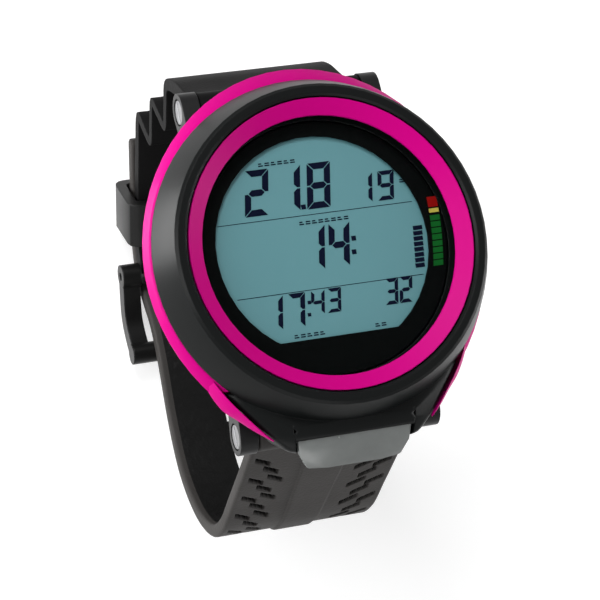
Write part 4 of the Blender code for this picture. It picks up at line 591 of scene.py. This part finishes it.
# stage: a pale floor under the loop that reads as white, with a soft shadow kept
# its glow grows from near to far, because the lamps reach the far floor less
stageLook = {"level": -0.0728, "half": 2.0, "tone": (0.6, 0.6, 0.6, 1), "rough": 0.8, "glow": (0.58, 1.0),
             "reach": (0.25, 0.9)}
corners = [(x * stageLook["half"], y * stageLook["half"], stageLook["level"])
           for x, y in ((-1, -1), (1, -1), (1, 1), (-1, 1))]
floorMesh = bpy.data.meshes.new("floor")
floorMesh.from_pydata(corners, [], [(0, 1, 2, 3)])
floor = bpy.data.objects.new("floor", floorMesh)
bpy.context.scene.collection.objects.link(floor)
floorFinish = bpy.data.materials.new("floor")
floorFinish.use_nodes = True
tree = floorFinish.node_tree
floorShader = tree.nodes["Principled BSDF"]
floorShader.inputs["Base Color"].default_value = stageLook["tone"]
floorShader.inputs["Roughness"].default_value = stageLook["rough"]
floorShader.inputs["Specular IOR Level"].default_value = 0
floorShader.inputs["Emission Color"].default_value = (1, 1, 1, 1)
far = addNode(tree, "ShaderNodeVectorMath", operation="LENGTH")
tree.links.new(addNode(tree, "ShaderNodeTexCoord").outputs["Object"], far.inputs[0])
glow = addNode(tree, "ShaderNodeMapRange")
glow.inputs["From Min"].default_value, glow.inputs["From Max"].default_value = stageLook["reach"]
glow.inputs["To Min"].default_value, glow.inputs["To Max"].default_value = stageLook["glow"]
tree.links.new(far.outputs["Value"], glow.inputs["Value"])
shown = addNode(tree, "ShaderNodeMath", operation="MULTIPLY")
tree.links.new(glow.outputs["Result"], shown.inputs[0])
tree.links.new(seenRays(tree), shown.inputs[1])
tree.links.new(shown.outputs["Value"], floorShader.inputs["Emission Strength"])
floorMesh.materials.append(floorFinish)

# world: a low fill of light, shown as white
skyLook = {"fill": 0.07, "shown": 1.0}
world = bpy.data.worlds.new("studio")
world.use_nodes = True
tree = world.node_tree
sky = tree.nodes["Background"]
sky.inputs["Color"].default_value = (1, 1, 1, 1)
level = addNode(tree, "ShaderNodeMapRange", {"To Min": skyLook["fill"], "To Max": skyLook["shown"]})
tree.links.new(seenRays(tree), level.inputs["Value"])
tree.links.new(level.outputs["Result"], sky.inputs["Strength"])
bpy.context.scene.world = world

lamps = {"key left": {"place": (-0.50, 0.05, 0.22), "aim": (0, 0, 0), "size": (0.35, 0.50), "power": 3.2},
         "top": {"place": (-0.18, 0.42, 0.55), "aim": (0, 0, 0), "size": (0.35, 0.25), "power": 3.0},
         "rim right": {"place": (0.45, -0.10, 0.10), "aim": (0, 0, -0.01), "size": (0.20, 0.40), "power": 1.5},
         "front": {"place": (-0.10, -0.55, 0.15), "aim": (0, -0.02, -0.02), "size": (0.40, 0.25),
                   "power": 0.75},
         "low left": {"place": (-0.128, 0.062, -0.066), "aim": (0, 0.03, 0.02), "size": (0.08, 0.06),
                      "power": 0.22}}


def softbox(name, place, aim, size, power):
    # a rectangular lamp at place whose back axis points away from aim
    lamp = bpy.data.lights.new(name, "AREA")
    lamp.shape = "RECTANGLE"
    lamp.size, lamp.size_y = size
    lamp.energy = power
    box = bpy.data.objects.new(name, lamp)
    bpy.context.scene.collection.objects.link(box)
    away = np.array(place) - np.array(aim)
    away = away / np.linalg.norm(away)
    side = np.cross((0, 0, 1), away)
    side = side / np.linalg.norm(side)
    up = np.cross(away, side)
    box.matrix_world = Matrix([[side[i], up[i], away[i], place[i]] for i in range(3)] + [[0, 0, 0, 1]])


for name, lamp in lamps.items():
    softbox(name, **lamp)

# camera of the photo: its place, and its axes made exactly square to each other
view = {"lens": 144, "sensor": 36, "near": 0.01, "place": (-0.1417, -0.0631, 0.4422),
        "right": (0.945, -0.177, 0.276), "up": (0.134, 0.977, 0.166), "back": (-0.299, -0.119, 0.947)}
cameraData = bpy.data.cameras.new("camera")
cameraData.lens = view["lens"]
cameraData.sensor_width = view["sensor"]
cameraData.clip_start = view["near"]
camera = bpy.data.objects.new("camera", cameraData)
bpy.context.scene.collection.objects.link(camera)
first, _, last = np.linalg.svd(np.array([view["right"], view["up"], view["back"]]))
turn = (first @ last).T
camera.matrix_world = Matrix([[*turn[i], view["place"][i]] for i in range(3)] + [[0, 0, 0, 1]])
bpy.context.scene.camera = camera
bpy.context.scene.view_settings.view_transform = "Standard"
print("stage set")
